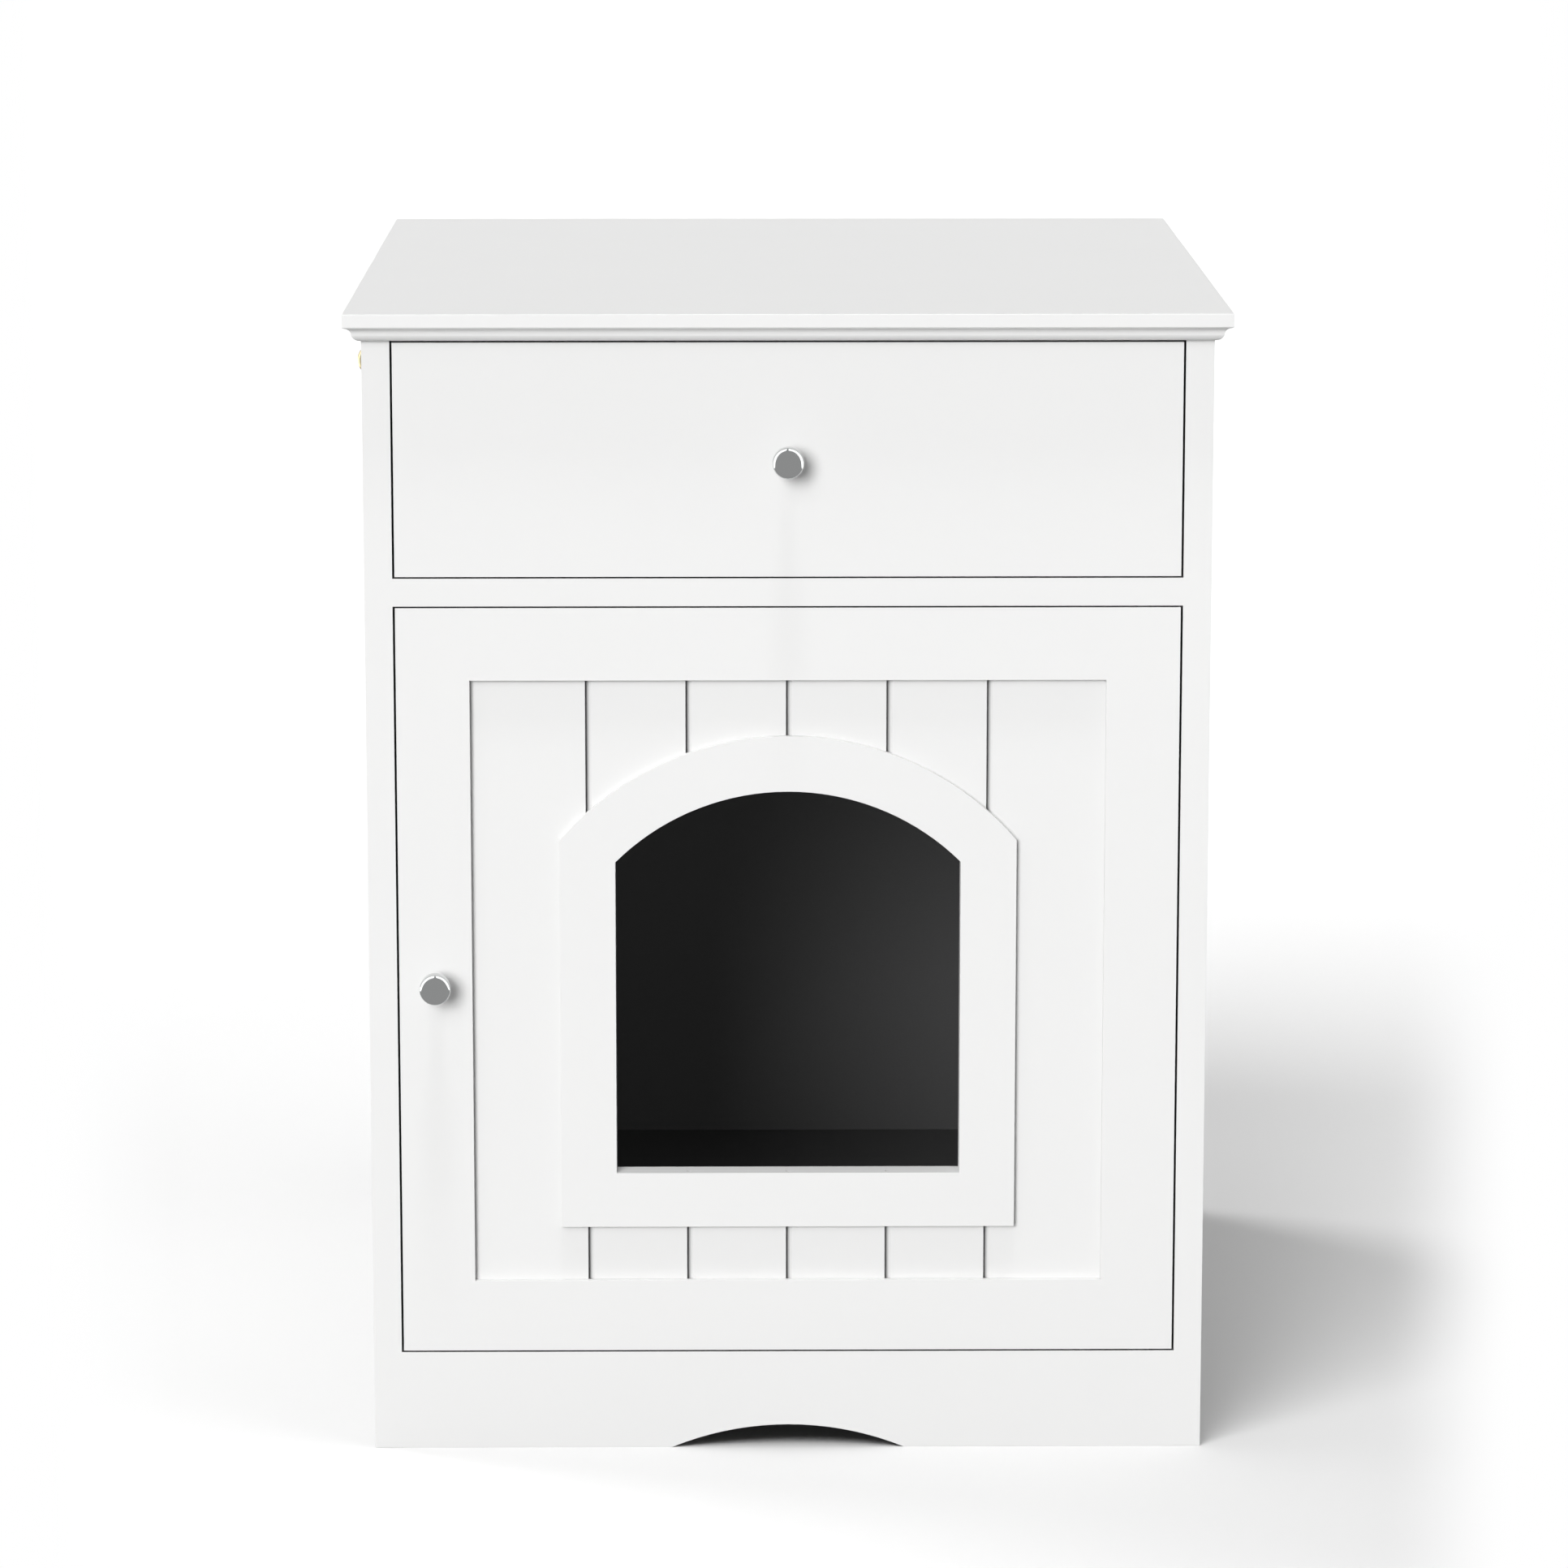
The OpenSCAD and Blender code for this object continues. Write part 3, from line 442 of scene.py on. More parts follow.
def startTree(name, sizes):
    # an empty tree with named inputs; gives the tree, its graph and the inputs' values
    tree = bpy.data.node_groups.new(name, "GeometryNodeTree")
    tree.interface.new_socket("Geometry", in_out="OUTPUT", socket_type="NodeSocketGeometry")
    tree.interface.new_socket("Geometry", in_out="INPUT", socket_type="NodeSocketGeometry")
    kinds = {"int": "Int", "float": "Float", "Material": "Material", "Object": "Object"}
    for label, size in sizes.items():
        kind = "NodeSocket" + kinds[type(size).__name__]
        tree.interface.new_socket(label, in_out="INPUT", socket_type=kind)
    graph = Graph(tree, "GeometryNode")
    start = graph.add("NodeGroupInput").socket.node
    return tree, graph, {socket.name: Value(graph, socket) for socket in start.outputs if socket.name}


def endTree(graph, shape, finish):
    # the export drops instances, so they are made real
    real = graph.add("RealizeInstances", inputs={"Geometry": shape})
    painted = graph.add("SetMaterial", inputs={"Geometry": real, "Material": finish})
    graph.add("NodeGroupOutput", inputs={"Geometry": painted})


def runTree(tree, sizes, mesh):
    # a plain mesh from the tree, with the mesh as its input geometry
    holder = bpy.data.objects.new(tree.name, mesh)
    scene.collection.objects.link(holder)
    modifier = holder.modifiers.new(tree.name, "NODES")
    modifier.node_group = tree
    for item in tree.interface.items_tree:
        if item.in_out == "INPUT" and item.name in sizes:
            modifier[item.identifier] = sizes[item.name]
    done = bakeModifiers(holder)
    bpy.data.objects.remove(holder)
    return done


def vector(graph, x=0.0, y=0.0, z=0.0):
    return graph.add("ShaderNodeCombineXYZ", inputs={0: x, 1: y, 2: z})


def block(graph, size, middle):
    # a box inside a tree
    cube = graph.add("MeshCube", inputs={"Size": size})
    return graph.add("Transform", inputs={"Geometry": cube, "Translation": middle})


# camera

camera = {
    "place": (-0.03145, -3.59816, 1.03353),
    "pitch": 0.18985,        # looks down, radians
    "yaw": 0.00875,          # looks right
    "focal": 7337.5 / 1932,  # times the width of the image
    "sensor": 36,
}
lens = bpy.data.cameras.new("camera")
lens.sensor_width = camera["sensor"]
lens.lens = camera["sensor"] * camera["focal"]
cameraObject = bpy.data.objects.new("camera", lens)
cameraObject.location = camera["place"]
cameraObject.rotation_euler = (pi / 2 - camera["pitch"], 0, -camera["yaw"])
scene.collection.objects.link(cameraObject)
scene.camera = cameraObject


# carcass boards

boards = {
    "arris": 0.5 * mm,
    "gapArris": 0.15 * mm,   # at the gaps round the drawer and the door, and on the drawer's own boards
    "endRoom": 1 * mm,       # the kick board's ends stay square
    "footRoom": 0.3 * mm,    # and so does its foot on the floor
}


def sideEdge(p, d):
    # the front edge is flush with the shelf and the kick board, so no rounding there
    inFront = at(p.y, frontY) and at(abs(p.x), innerX)
    flush = p.z < kickTop or shelfUnder < p.z < shelfTop
    return inFront and flush


for side in ("left", "right"):
    softened("side_panel_" + side, "carcass", carcassPaint, boards["gapArris"],
             boxEdges("side_panel_" + side, sideEdge), cuts=[(2, kickTop), (2, shelfUnder), (2, shelfTop)])

softened("divider_shelf", "carcass", carcassPaint, boards["gapArris"],
         boxEdges("divider_shelf", lambda p, d: not at(p.y, frontY) or abs(d.z) > abs(d.x)))
softened("kick_board", "carcass", kickPaint, boards["gapArris"],
         lambda p, d: at(p.y, frontY) and abs(p.x) < innerX - boards["endRoom"] and p.z > boards["footRoom"])
softened("top_panel", "carcass", slabPaint, boards["arris"],
         lambda p, d: at(p.y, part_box("top_panel")[1].y) and at(p.z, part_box("top_panel")[1].z))
for node in ("rear_top_rail", "rear_base_rail"):
    softened(node, "carcass", whitePaint, boards["arris"],
             boxEdges(node, lambda p, d: abs(d.x) < abs(d.z) + abs(d.y)))
softened("floor_panel", "carcass", charcoalCoat, boards["arris"],
         boxEdges("floor_panel", lambda p, d: not at(p.y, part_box("floor_panel")[0].y)))
coat(hardboard, "back_panel")
print("carcass boards made")


# door frame and trims

doorFrame = {"arris": 0.15 * mm, "level": 0.1 * mm}   # level: what an edge that lies in a face may rise by


def stileJoint(p, d):
    return at(abs(p.x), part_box("door_stile_right")[0].x) and not railTop < p.z < railUnder


for side in ("left", "right"):
    node = "door_stile_" + side
    softened(node, "door", doorPaint, doorFrame["arris"], boxEdges(node, stileJoint),
             cuts=[(2, railTop), (2, railUnder)])
for node in ("door_rail_lower", "door_rail_upper"):
    softened(node, "door", doorPaint, doorFrame["arris"], boxEdges(node))
for node, face in (("arch_trim_front", frontY), ("arch_trim_rear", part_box("arch_trim_rear")[1].y)):
    softened(node, "door", whitePaint, doorFrame["arris"],
             lambda p, d: at(p.y, face) and abs(d.y) < doorFrame["level"])
print("door frame made")


# plank panel, by rule: a board less grooves at an even pitch, less the entrance

planks = {
    "Plank width": 57.2 * mm,
    "Grooves": 5,
    "Entrance half width": 98.7 * mm,
    "Head radius": 139.3 * mm,
}
# a groove is square on its left and slopes up on its right, measured from the planks' line
groove = {
    "square": -1.13 * mm,
    "foot": -0.73 * mm,
    "slope": 2.27 * mm,
    "depth": 3.0 * mm,
    "arris": 0.15 * mm,
    "over": 1 * mm,                    # what the cutter stands out by
    # painted shade at the feet of the grooves
    "shadeColour": (0.30, 0.30, 0.30),
    "trimRoom": 3 * mm,                # the painted shade stops this far under the entrance
}
trimWidth = 32 * mm

low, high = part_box("door_panel")
planks["Face"], planks["Thickness"] = low.y, high.y - low.y
planks["Half width"], planks["Low"], planks["High"] = high.x, low.z, high.z
planks["Sill"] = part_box("arch_trim_front")[0].z + trimWidth
planks["Head centre"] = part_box("arch_trim_front")[1].z - trimWidth - planks["Head radius"]


def grooveCutter():
    # a prism whose square side has a flared shoulder, so that the plank's arris there comes out rounded
    left, foot, right = groove["square"], groove["foot"], groove["slope"]
    deep, arris, over = groove["depth"], groove["arris"], groove["over"]
    shoulder = [(arris * (1 - sin(radians(a))), arris * (1 - cos(radians(a)))) for a in (0, 30, 60, 90)]
    outline = [(left - arris, -over)] + [(left - x, y) for x, y in shoulder]
    outline += [(left, deep), (foot, deep), (right, 0), (right, -over)]
    bm = bmesh.new()
    heights = (planks["Low"] - over, planks["High"] + over)
    ends = [[bm.verts.new((x, y, z)) for x, y in outline] for z in heights]
    for i in range(len(outline)):
        j = (i + 1) % len(outline)
        bm.faces.new((ends[0][i], ends[0][j], ends[1][j], ends[1][i]))
    bm.faces.new(ends[0])
    bm.faces.new(ends[1])
    bmesh.ops.recalc_face_normals(bm, faces=bm.faces)
    mesh = bpy.data.meshes.new("grooveCutter")
    bm.to_mesh(mesh)
    bm.free()
    return mesh


def plankTree(sizes):
    # the groove cutter comes in as the tree's geometry
    tree, graph, given = startTree("plankPanel", sizes)
    face, deep, width = given["Face"], given["Thickness"], given["Plank width"]
    mid = face + deep / 2
    board = block(graph, vector(graph, given["Half width"] * 2, deep, given["High"] - given["Low"]),
                  vector(graph, 0.0, mid, (given["High"] + given["Low"]) / 2))
    line = graph.add("MeshLine", {"mode": "OFFSET"}, {
        "Count": given["Grooves"], "Offset": vector(graph, width),
        "Start Location": vector(graph, width * (given["Grooves"] - 1) / -2, face)})
    cutters = graph.add("RealizeInstances", inputs={"Geometry": graph.add(
        "InstanceOnPoints", inputs={"Points": line, "Instance": given["Geometry"]})})
    half, radius, centre, sill = (given[name] for name in
                                  ("Entrance half width", "Head radius", "Head centre", "Sill"))
    through = deep * 3
    doorway = block(graph, vector(graph, half * 2, through, centre - sill),
                    vector(graph, 0.0, mid, (centre + sill) / 2))
    rod = graph.add("MeshCylinder", inputs={"Vertices": 72, "Radius": radius, "Depth": through})
    rod = graph.add("Transform", inputs={"Geometry": rod, "Rotation": (pi / 2, 0, 0),
                                         "Translation": vector(graph, 0.0, mid, centre)})
    upper = block(graph, vector(graph, half * 2, deep * 4, radius * 2),
                  vector(graph, 0.0, mid, centre + radius - 0.5 * mm))
    head = graph.add("MeshBoolean", {"operation": "INTERSECT", "solver": "EXACT"}, {"Mesh 2": [rod, upper]})
    panel = graph.add("MeshBoolean", {"operation": "DIFFERENCE", "solver": "EXACT"},
                      {"Mesh 1": board, "Mesh 2": [cutters, doorway, head]})
    endTree(graph, panel, given["Finish"])
    return tree


def grooveDepth(graph):
    # 0 on the face to 1 at the foot of a groove, where the painted shade goes
    x, y, z = graph.xyz()
    pitch = planks["Plank width"]
    beside = abs(x - (x / pitch).rounded() * pitch)
    near = (beside < groove["slope"] + 0.2 * mm) * (y < planks["Face"] + groove["depth"] + 0.1 * mm)
    clear = z < planks["Sill"] - groove["trimRoom"]
    clear = clear.most(z > planks["Head centre"] + planks["Head radius"] * 0.6)
    foot = planks["Face"] + groove["depth"]
    return near * clear * graph.smooth(y, foot - groove["depth"] * 0.8, foot)


# the grooves are darker than their shape alone makes them, so their feet get a painted shade of grey
plankPaint = sprayed("whitePaintGreyInGrooves",
                     lambda g: g.mix(grooveDepth(g), paintColour(g), groove["shadeColour"]))
planks["Finish"] = plankPaint
panel = runTree(plankTree(planks), planks, grooveCutter())
finished(panel, "door_panel", "door", plankPaint)
print("plank panel made")


# drawer

softened("drawer_front", "drawer", drawerPaint, boards["gapArris"], boxEdges("drawer_front"))
for node in ("drawer_side_left", "drawer_side_right", "drawer_back"):
    softened(node, "drawer", whitePaint, boards["gapArris"], boxEdges(node))
coat(hardboard, "drawer_bottom")
coat(beech, "wood_dowels", "drawer_dowels")
print("drawer made")


# knobs

knob = {
    "neck": 4.5 * mm,         # radius, as are foot and bore
    "foot": 5.7 * mm,
    "footHeight": 1.6 * mm,
    "footLow": 0.3 * mm,      # roundings of the foot
    "footHigh": 0.5 * mm,
    "head": 8 * mm,
    "front": 1.8 * mm,        # roundings of the head
    "rear": 0.9 * mm,
    "fillet": 1.2 * mm,
    "bore": 2.1 * mm,
    "boreDepth": 11 * mm,
}


def knobShape(node):
    # a lathe profile from the bore round the foot and the neck to the middle of the face
    low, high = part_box(node)
    radius, out = (high.x - low.x) / 2, high.y - low.y
    under = out - knob["head"]
    neck, foot, tall = knob["neck"], knob["foot"], knob["footHeight"]
    lower, upper, fillet = knob["footLow"], knob["footHigh"], knob["fillet"]
    rear, front = knob["rear"], knob["front"]
    profile = [(0, knob["boreDepth"]), (knob["bore"], knob["boreDepth"]), (knob["bore"], 0)]
    profile += arc((foot - lower, lower), lower, -90, 0, 3)
    profile += arc((foot - upper, tall - upper), upper, 0, 90, 4)
    profile += arc((neck + upper, tall + upper), upper, 270, 180, 4)
    profile += arc((neck + fillet, under - fillet), fillet, 180, 90, 6)
    profile += arc((radius - rear, under + rear), rear, -90, 0, 8)
    profile += arc((radius - front, out - front), front, 0, 90, 14)
    profile += [(radius * 0.4, out), (0, out)]
    place = Matrix.Translation(((low.x + high.x) / 2, high.y, (low.z + high.z) / 2))
    return turned(profile, 96, place @ Matrix.Rotation(pi / 2, 4, "X"))


for body in ("door", "drawer"):
    finished(knobShape(body + "_knob"), body + "_knob", body, chrome, sharp=40, weighted=False)
print("knobs made")


# screws and caps

screws = {
    "wood": {"head": 3.2 * mm, "sink": 1.7 * mm, "shank": 1.7 * mm, "core": 1.2 * mm, "pitch": 1.3 * mm},
    "pan": {"head": 3.2 * mm, "rise": 1.7 * mm},
    "knob": {"head": 4 * mm, "rise": 2.2 * mm, "shank": 2 * mm, "pitch": 0.7 * mm},
    "confirmat": {"head": 4.8 * mm, "rise": 3.4 * mm, "shank": 3.2 * mm, "core": 2.3 * mm, "pitch": 3 * mm},
}
recess = {
    "span": 3.6 * mm,         # of the cross, at its mouth
    "width": 0.9 * mm,
    "taper": (0.45, 0.8),     # what is left of span and width at the bottom
    "depth": 1.1 * mm,
    "mouth": 0.3 * mm,        # how far the cutter stands out of the head
    "hex": 2.1 * mm,
    "hexDepth": 2.2 * mm,
}
cap = {"radius": 4.8 * mm, "dome": 0.35 * mm, "round": 0.3 * mm, "rise": 0.3 * mm}


def solids(node):
    # lowest and highest corner of each separate solid of a node, in a fixed order
    bm = bmesh.new()
    bm.from_mesh(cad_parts[node].data)
    bmesh.ops.remove_doubles(bm, verts=bm.verts, dist=weld)
    seen, boxes = set(), []
    for start in bm.verts:
        if start in seen:
            continue
        seen.add(start)
        stack, points = [start], []
        while stack:
            vert = stack.pop()
            points.append(vert.co.copy())
            for edge in vert.link_edges:
                other = edge.other_vert(vert)
                if other not in seen:
                    seen.add(other)
                    stack.append(other)
        boxes.append(tuple(Vector([side(p[i] for p in points) for i in range(3)]) for side in (min, max)))
    bm.free()
    return sorted(boxes, key=lambda b: [round(c, 5) for c in b[0]])


def ridges(shank, core, pitch, start, end):
    # the thread's crests and roots, seen along a screw
    points, z = [(core, -start)], start
    while z + pitch < end:
        points += [(core, -z - pitch * 0.3), (shank, -z - pitch * 0.62)]
        points += [(shank, -z - pitch * 0.72), (core, -z - pitch)]
        z += pitch
    return points


def screwShape(kind, length):
    # points down along Z from the outer face of its head
    screw, wood = screws[kind], screws["wood"]
    head, shank, pitch = screw["head"], screw.get("shank", wood["shank"]), screw.get("pitch", wood["pitch"])
    core = wood["core"] if kind == "pan" else screw.get("core", shank * 0.86)
    if kind == "wood":
        top = [(0, 0), (head - 0.2 * mm, 0), (head, -0.15 * mm), (shank, -screw["sink"])]
        start = screw["sink"] + 1 * mm
    else:
        rise, crown = screw["rise"], screw["rise"] * 0.75
        top = [(0, 0), (head * 0.3, -0.03 * mm)]
        top += arc((head - crown, -crown), crown, 80, 0, 6) + [(head, 0.1 * mm - rise)]
        top += [(head - 0.1 * mm, -rise), (shank, -rise)]
        start = rise + 0.8 * mm
    tip = 0.3 * mm if kind == "knob" else shank * 1.1
    profile = top + [(shank, -start + 0.2 * mm)] + ridges(shank, core, pitch, start, length - tip)
    profile += [(core * 0.85, -length), (0, -length)] if kind in ("knob", "confirmat") else [(0, -length)]
    return turned(profile, 32)


def recessShape(hexagon):
    # what a screwdriver's cross or a hexagon key needs
    if hexagon:
        return turned([(0, 1 * mm), (recess["hex"], 1 * mm), (recess["hex"], -recess["hexDepth"]),
                       (0, -recess["hexDepth"])], 6)
    wings = []
    for turn in (0, pi / 2):
        bm = bmesh.new()
        bmesh.ops.create_cube(bm, size=1)
        for vert in bm.verts:
            deep = vert.co.z < 0
            long, wide = recess["taper"] if deep else (1.0, 1.0)
            vert.co = Vector((vert.co.x * recess["span"] * long, vert.co.y * recess["width"] * wide,
                              -recess["depth"] if deep else recess["mouth"]))
        bm.transform(Matrix.Rotation(turn, 4, "Z"))
        wings.append(bm)
    return joined(*wings)


def asObject(name, bm):
    mesh = bpy.data.meshes.new(name)
    bm.to_mesh(mesh)
    bm.free()
    return bpy.data.objects.new(name, mesh)


def repeatTree(sizes, cut):
    # a shape on every point, facing along the point's aim, each turned by its own angle
    tree, graph, given = startTree("repeatedAlongAim", sizes)
    shape = graph.add("ObjectInfo", inputs={"Object": given["Shape"]}, output="Geometry")
    if cut:
        shape = graph.add("MeshBoolean", {"operation": "DIFFERENCE", "solver": "EXACT"}, {
            "Mesh 1": shape, "Self Intersection": True,
            "Mesh 2": [graph.add("ObjectInfo", inputs={"Object": given["Recess"]}, output="Geometry")]})
    aim = graph.add("InputNamedAttribute", {"data_type": "FLOAT_VECTOR"}, {"Name": "aim"})
    facing = graph.add("FunctionNodeAlignRotationToVector", {"axis": "Z"}, {"Vector": aim})
    angle = graph.add("FunctionNodeRandomValue", {"data_type": "FLOAT"}, {
        "Seed": given["Seed"], 2: 0.0, 3: 2 * pi}, output=1)
    spin = graph.add("FunctionNodeAxisAngleToRotation", inputs={"Axis": (0, 0, 1), "Angle": angle})
    turnedBy = graph.add("FunctionNodeRotateRotation", {"rotation_space": "LOCAL"}, {
        "Rotation": facing, "Rotate By": spin})
    placed = graph.add("InstanceOnPoints", inputs={"Points": given["Geometry"], "Instance": shape,
                                                   "Rotation": turnedBy})
    endTree(graph, placed, given["Finish"])
    return tree


def repeated(node, body, material, facing, shape, cutter=None, seed=4, rise=0.0):
    # one shape for each solid of the node; facing gives the way its outer face looks
    boxes = solids(node)
    points, aims = [], []
    for low, high in boxes:
        aim = facing((low + high) / 2)
        half = (high - low) / 2
        points.append((low + high) / 2 + aim * abs(aim.dot(half)) + aim * rise)
        aims.append(aim)
    mesh = bpy.data.meshes.new("places")
    mesh.from_pydata(points, [], [])
    held = mesh.attributes.new("aim", "FLOAT_VECTOR", "POINT")
    for i, aim in enumerate(aims):
        held.data[i].vector = aim
    size = boxes[0][1] - boxes[0][0]
    length = abs(aims[0].dot(size))
    sizes = {"Shape": asObject("shape", shape(length)), "Seed": seed, "Finish": material}
    if cutter:
        sizes["Recess"] = asObject("recess", cutter)
    done = runTree(repeatTree(sizes, bool(cutter)), sizes, mesh)
    if "aim" in done.attributes:
        done.attributes.remove(done.attributes["aim"])
    return finished(done, node, body, material, weighted=False)


def towards(axis, sign):
    return Vector([sign if i == axis else 0 for i in range(3)])


def capShape(thickness):
    # a disc with a rounded edge and a slight dome
    radius, rounding = cap["radius"], cap["round"]
    edge = arc((radius - rounding, 0.1 * mm - cap["dome"] - rounding), rounding, 0, 90, 4)
    return turned([(0, -thickness), (radius, -thickness)] + edge + [(radius * 0.5, -0.05 * mm), (0, 0)], 48)


middleZ = (kickTop + shelfUnder) / 2
for node, body, kind, facing in (
        ("runner_screws", "carcass", "pan", lambda p: towards(0, -1 if p.x > 0 else 1)),
        ("drawer_runner_screws", "drawer", "pan", lambda p: towards(2, -1)),
        ("pivot_screws", "carcass", "wood", lambda p: towards(2, 1 if p.z < middleZ else -1)),
        ("catch_screws", "carcass", "wood", lambda p: towards(2, -1)),
        ("strike_screws", "door", "wood", lambda p: towards(1, 1)),
        ("door_knob_screw", "door", "knob", lambda p: towards(1, 1)),
        ("drawer_knob_screw", "drawer", "knob", lambda p: towards(1, 1)),
        ("confirmat_screws", "carcass", "confirmat", lambda p: towards(0, 1 if p.x > 0 else -1))):
    repeated(node, body, zinc, facing, lambda length: screwShape(kind, length),
             recessShape(kind == "confirmat"))
repeated("screw_caps", "carcass", nylon, lambda p: towards(0, 1 if p.x > 0 else -1),
         lambda length: capShape(length + 2 * cap["dome"]), rise=cap["rise"])
for node in ("cam_discs", "cam_bolts", "catch_poles"):
    smoothed(node, "carcass", zinc)
print("screws and caps made")


# runners and rollers

runner = {"fold": 0.4 * mm}
roller = {
    "bore": 2.05 * mm,
    "hub": 4.2 * mm,
    "rim": 8.0 * mm,
    "dish": 1.4 * mm,
    "slant": 0.3 * mm,    # of the dish's two walls
    "edge": 0.5 * mm,
}


def longEdge(p, d):
    return abs(d.y) > 20 * (abs(d.x) + abs(d.z))


for side in ("left", "right"):
    softened("runner_" + side, "carcass", powderCoat, runner["fold"], longEdge)
    softened("drawer_runner_" + side, "drawer", powderCoat, runner["fold"], longEdge)


def rollerShape(node):
    low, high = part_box(node)
    radius, half = (high.z - low.z) / 2, (high.x - low.x) / 2
    edge, hub, rim, slant = roller["edge"], roller["hub"], roller["rim"], roller["slant"]
    deep = half - roller["dish"]
    face = [(roller["bore"], half), (hub, half), (hub + slant, deep), (rim - slant, deep), (rim, half)]
    face += arc((radius - edge, half - edge), edge, 90, 0, 5)
    profile = face + [(r, -z) for r, z in reversed(face)]
    place = Matrix.Translation((low + high) / 2)
    return turned(profile, 64, place @ Matrix.Rotation(pi / 2, 4, "Y"), ring=True)


for end, body in (("front", "front_rollers"), ("rear", "rear_rollers")):
    for side in ("left", "right"):
        node = end + "_roller_" + side
        finished(rollerShape(node), node, body, nylon, weighted=False)
for node, body in (("runner_axles", "carcass"), ("drawer_axles", "drawer")):
    smoothed(node, body, steel)
print("runners and rollers made")


# pivots and catch

plates = {"arris": 0.25 * mm, "housingArris": 0.6 * mm}
for node in ("pivot_plate_lower", "pivot_plate_upper"):
    smoothed(node, "carcass", steel)
smoothed("pivot_bushes", "door", blackNylon)
softened("strike_plate", "door", steel, plates["arris"],
         boxEdges("strike_plate", lambda p, d: not at(p.y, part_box("strike_plate")[1].y)))
softened("catch_housing", "carcass", nylon, plates["housingArris"],
         boxEdges("catch_housing", lambda p, d: at(p.z, shelfUnder)))
print("pivots and catch made")


# hook

hook = {
    "wire": 1.5 * mm,         # radii of the wire, the shank, the bend and the ball at the tip
    "shank": 1.65 * mm,
    "bend": 8.1 * mm,
    "tip": 1.9 * mm,
    "turn": 235,              # degrees that the bend goes round
    "steps": 48,
    "collar": 6 * mm,
    "collarDepth": 2.4 * mm,
}


def hookShape():
    low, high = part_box("scoop_hook")
    middle = (low.y + high.y) / 2
    pin = high.z - hook["collar"]                       # height of the shank
    centre = Vector((low.x + hook["bend"] + hook["wire"], middle, pin - hook["bend"]))
    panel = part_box("side_panel_left")[0].x
    # the end in the panel, and the shank up to where the bend begins
    straight = (high.x, high.x - 0.4 * mm, panel - 1 * mm, panel - hook["collarDepth"] - 1.2 * mm)
    path = [Vector((x, middle, pin)) for x in straight]
    radii = [hook["shank"] * 0.8, hook["shank"], hook["shank"], hook["wire"]]
    for i in range(hook["steps"] + 1):
        turn = radians(90 + hook["turn"] * i / hook["steps"])
        path.append(centre + Vector((cos(turn), 0, sin(turn))) * hook["bend"])
        radii.append(hook["wire"])
    tip = Matrix.Translation(path[-1])
    ball = turned([(0, -hook["tip"])] + arc((0, 0), hook["tip"], -82, 82, 14) + [(0, hook["tip"])], 32, tip)
    collar, deep = hook["collar"], hook["collarDepth"]
    profile = [(0, 0), (collar, 0)] + arc((collar - 0.4 * mm, 0.6 * mm), 0.4 * mm, 0, 90, 4)
    profile += arc((collar - 1.4 * mm, deep - 0.5 * mm), 0.5 * mm, 0, 90, 4) + [(0, deep)]
    place = Matrix.Translation((panel, middle, pin)) @ Matrix.Rotation(-pi / 2, 4, "Y")
    return joined(swept(path, radii), ball, turned(profile, 48, place))


finished(hookShape(), "scoop_hook", "carcass", brass, sharp=40, weighted=False)
print("hook made")


# light and floor

light = {
    "sky": 0.17,                  # the world, for everything that isn't seen directly
    "floorColour": (0.82, 0.95),  # near the object and far from it
    "floorFar": (0.9, 2.4),       # how far off it changes from the one to the other
    "floorBounce": 0.25,          # what the floor sends back to the object
    "studio": 0.42,               # what metal mirrors straight ahead
    "softbox": 2.5,               # and to both sides
    "boxEdge": (1.0, 1.5),        # where the softboxes begin, seen in the floor
    "boxSide": (0.03, 0.08),      # and seen in the world, as a direction
    "seam": -0.03,                # middle of the dark seam between them
    "ahead": (0.99, 0.95),        # and the dark spot straight ahead
    "behind": (-0.15, 0.05),      # where the white behind the cabinet begins
    "fade": (0.104, 0.128),       # where the floor turns white, sideways over the distance from the camera
}
ground = {"half": 60, "front": -30, "back": 90, "under": 0.05 * mm}
# a faint lamp in the cat entrance that shines inwards
entrance = {"watts": 0.21, "width": 0.17, "height": 0.2, "up": 0.11, "behind": 18 * mm}
# strength on a facing surface, degrees left of the front, degrees up, softness in degrees, what it lights
lamps = {
    "key": (0.75, 21, 14, 30, "object"),
    "high": (0.16, 24, 34, 26, "object"),
    "ceiling": (0.35, 0, 83, 6, "object"),
    "rearLeft": (0.28, 145, 12, 70, "object"),
    "rearRight": (0.23, -128, 12, 70, "object"),
    "floorKey": (0.66, 30, 45, 34, "floor"),
    "floorLeft": (0.44, 122, 35, 26, "floor"),
    "floorRight": (0.18, -66, 40, 40, "floor"),
    "floorFill": (0.25, 0, 88, 30, "floor"),
}


def sun(name, strength, left, up, soft, lights):
    # a lamp that lights only the floor, or everything but the floor
    lamp = bpy.data.lights.new(name, "SUN")
    lamp.energy = strength * pi
    lamp.angle = radians(soft)
    lampObject = bpy.data.objects.new(name, lamp)
    left, up = radians(left), radians(up)
    way = Vector((-sin(left) * cos(up), -cos(left) * cos(up), sin(up)))
    lampObject.rotation_euler = way.to_track_quat("Z", "Y").to_euler()
    lampObject.visible_glossy = False
    scene.collection.objects.link(lampObject)
    receivers = bpy.data.collections.new(name + "Receivers")
    receivers.objects.link(floor)
    lampObject.light_linking.receiver_collection = receivers
    if lights == "object":
        receivers.collection_objects[0].light_linking.link_state = "EXCLUDE"


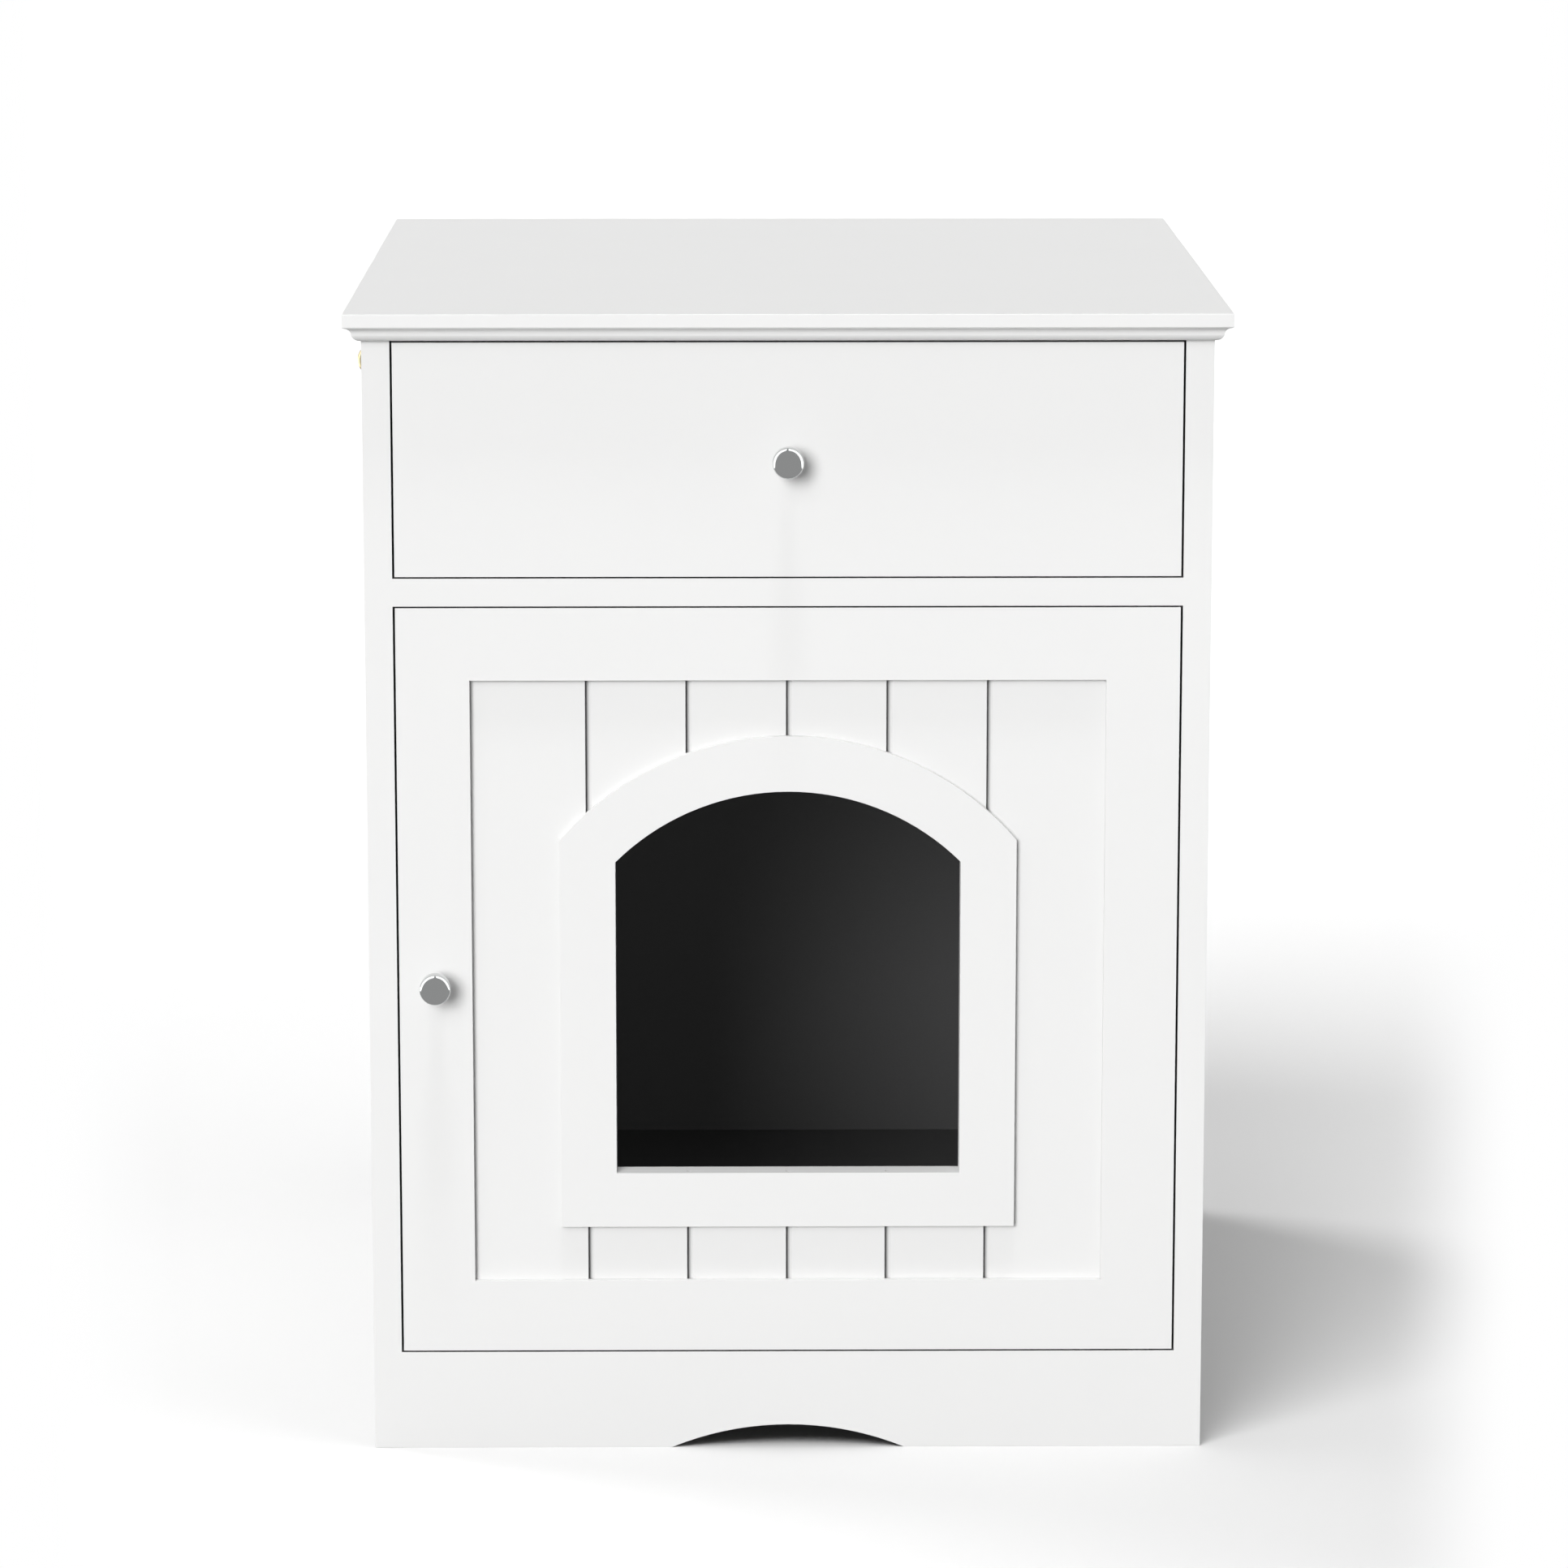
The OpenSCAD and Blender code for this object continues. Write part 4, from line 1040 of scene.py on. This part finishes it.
floorMesh = bpy.data.meshes.new("floor")
half, front, back = ground["half"], ground["front"], ground["back"]
corners = [(-half, front, 0), (half, front, 0), (half, back, 0), (-half, back, 0)]
floorMesh.from_pydata(corners, [], [(0, 1, 2, 3)])
floor = bpy.data.objects.new("floor", floorMesh)
floor.location.z = -ground["under"]
scene.collection.objects.link(floor)
floorPaint = bpy.data.materials.new("whiteFloor")
floorPaint.use_nodes = True
graph = Graph(floorPaint.node_tree)
ways = graph.add("LightPath").socket.node.outputs
seen, mirrored = Value(graph, ways["Is Camera Ray"]), Value(graph, ways["Is Glossy Ray"])
x, y, z = graph.xyz()
away = (x * x + y * y).root()
colour = graph.smooth(away, *light["floorFar"], *light["floorColour"])
tone = light["floorBounce"] + seen * (colour - light["floorBounce"])
matt = graph.add("BsdfDiffuse", inputs={"Color": graph.mix(tone, (0, 0, 0), (1, 1, 1))})
# what metal mirrors in the floor
glow = graph.smooth(abs(x), *light["boxEdge"], light["studio"], light["softbox"])
beside = graph.add("Emission", inputs={"Strength": glow})
shade = graph.add("MixShader", inputs={0: mirrored, 1: matt, 2: beside})
# the floor fades to white in two wedges, which are both sides of the picture; they stay put in other views
sideways = abs((x - camera["place"][0]) / (y - camera["place"][1]) - camera["yaw"])
white = graph.add("Emission", inputs={"Strength": 1.0})
shade = graph.add("MixShader", inputs={0: seen * graph.smooth(sideways, *light["fade"]), 1: shade, 2: white})
graph.add("OutputMaterial", inputs={"Surface": shade})
floorMesh.materials.append(floorPaint)

world = bpy.data.worlds.new("studio")
scene.world = world
world.use_nodes = True
graph = Graph(world.node_tree)
ways = graph.add("LightPath").socket.node.outputs
direct = Value(graph, ways["Is Camera Ray"]).most(Value(graph, ways["Is Transmission Ray"]))
mirrored = Value(graph, ways["Is Glossy Ray"])
# what polished metal mirrors: white behind, and in front two softboxes that leave a dark seam
split = graph.add("SeparateXYZ", inputs={0: graph.add("TexCoord", output=0)}).socket.node.outputs
wayX, wayY = Value(graph, split["X"]), Value(graph, split["Y"])
behind = graph.smooth(wayY, *light["behind"])
boxes = graph.smooth(abs(wayX - light["seam"]), *light["boxSide"]) * graph.smooth(-wayY, *light["ahead"])
ahead = light["studio"] + boxes * (light["softbox"] - light["studio"])
around = ahead + behind * (1 - ahead)
strength = light["sky"] + direct * (1 - light["sky"]) + mirrored * (around - light["sky"])
graph.add("OutputWorld", inputs={"Surface": graph.add("Background", inputs={"Strength": strength})})

for lampName, settings in lamps.items():
    sun(lampName, *settings)
lamp = bpy.data.lights.new("entranceLamp", "AREA")
lamp.shape = "RECTANGLE"
lamp.size, lamp.size_y = entrance["width"], entrance["height"]
lamp.energy = entrance["watts"]
entranceLamp = bpy.data.objects.new("entranceLamp", lamp)
entranceLamp.location = (0, frontY + entrance["behind"], planks["Sill"] + entrance["up"])
entranceLamp.rotation_euler.x = pi / 2
entranceLamp.visible_camera = entranceLamp.visible_glossy = False
scene.collection.objects.link(entranceLamp)

scene.view_settings.view_transform = "Standard"
# the photograph shows hardly any light that one white face throws on the next
scene.cycles.diffuse_bounces = 1
print("light made")
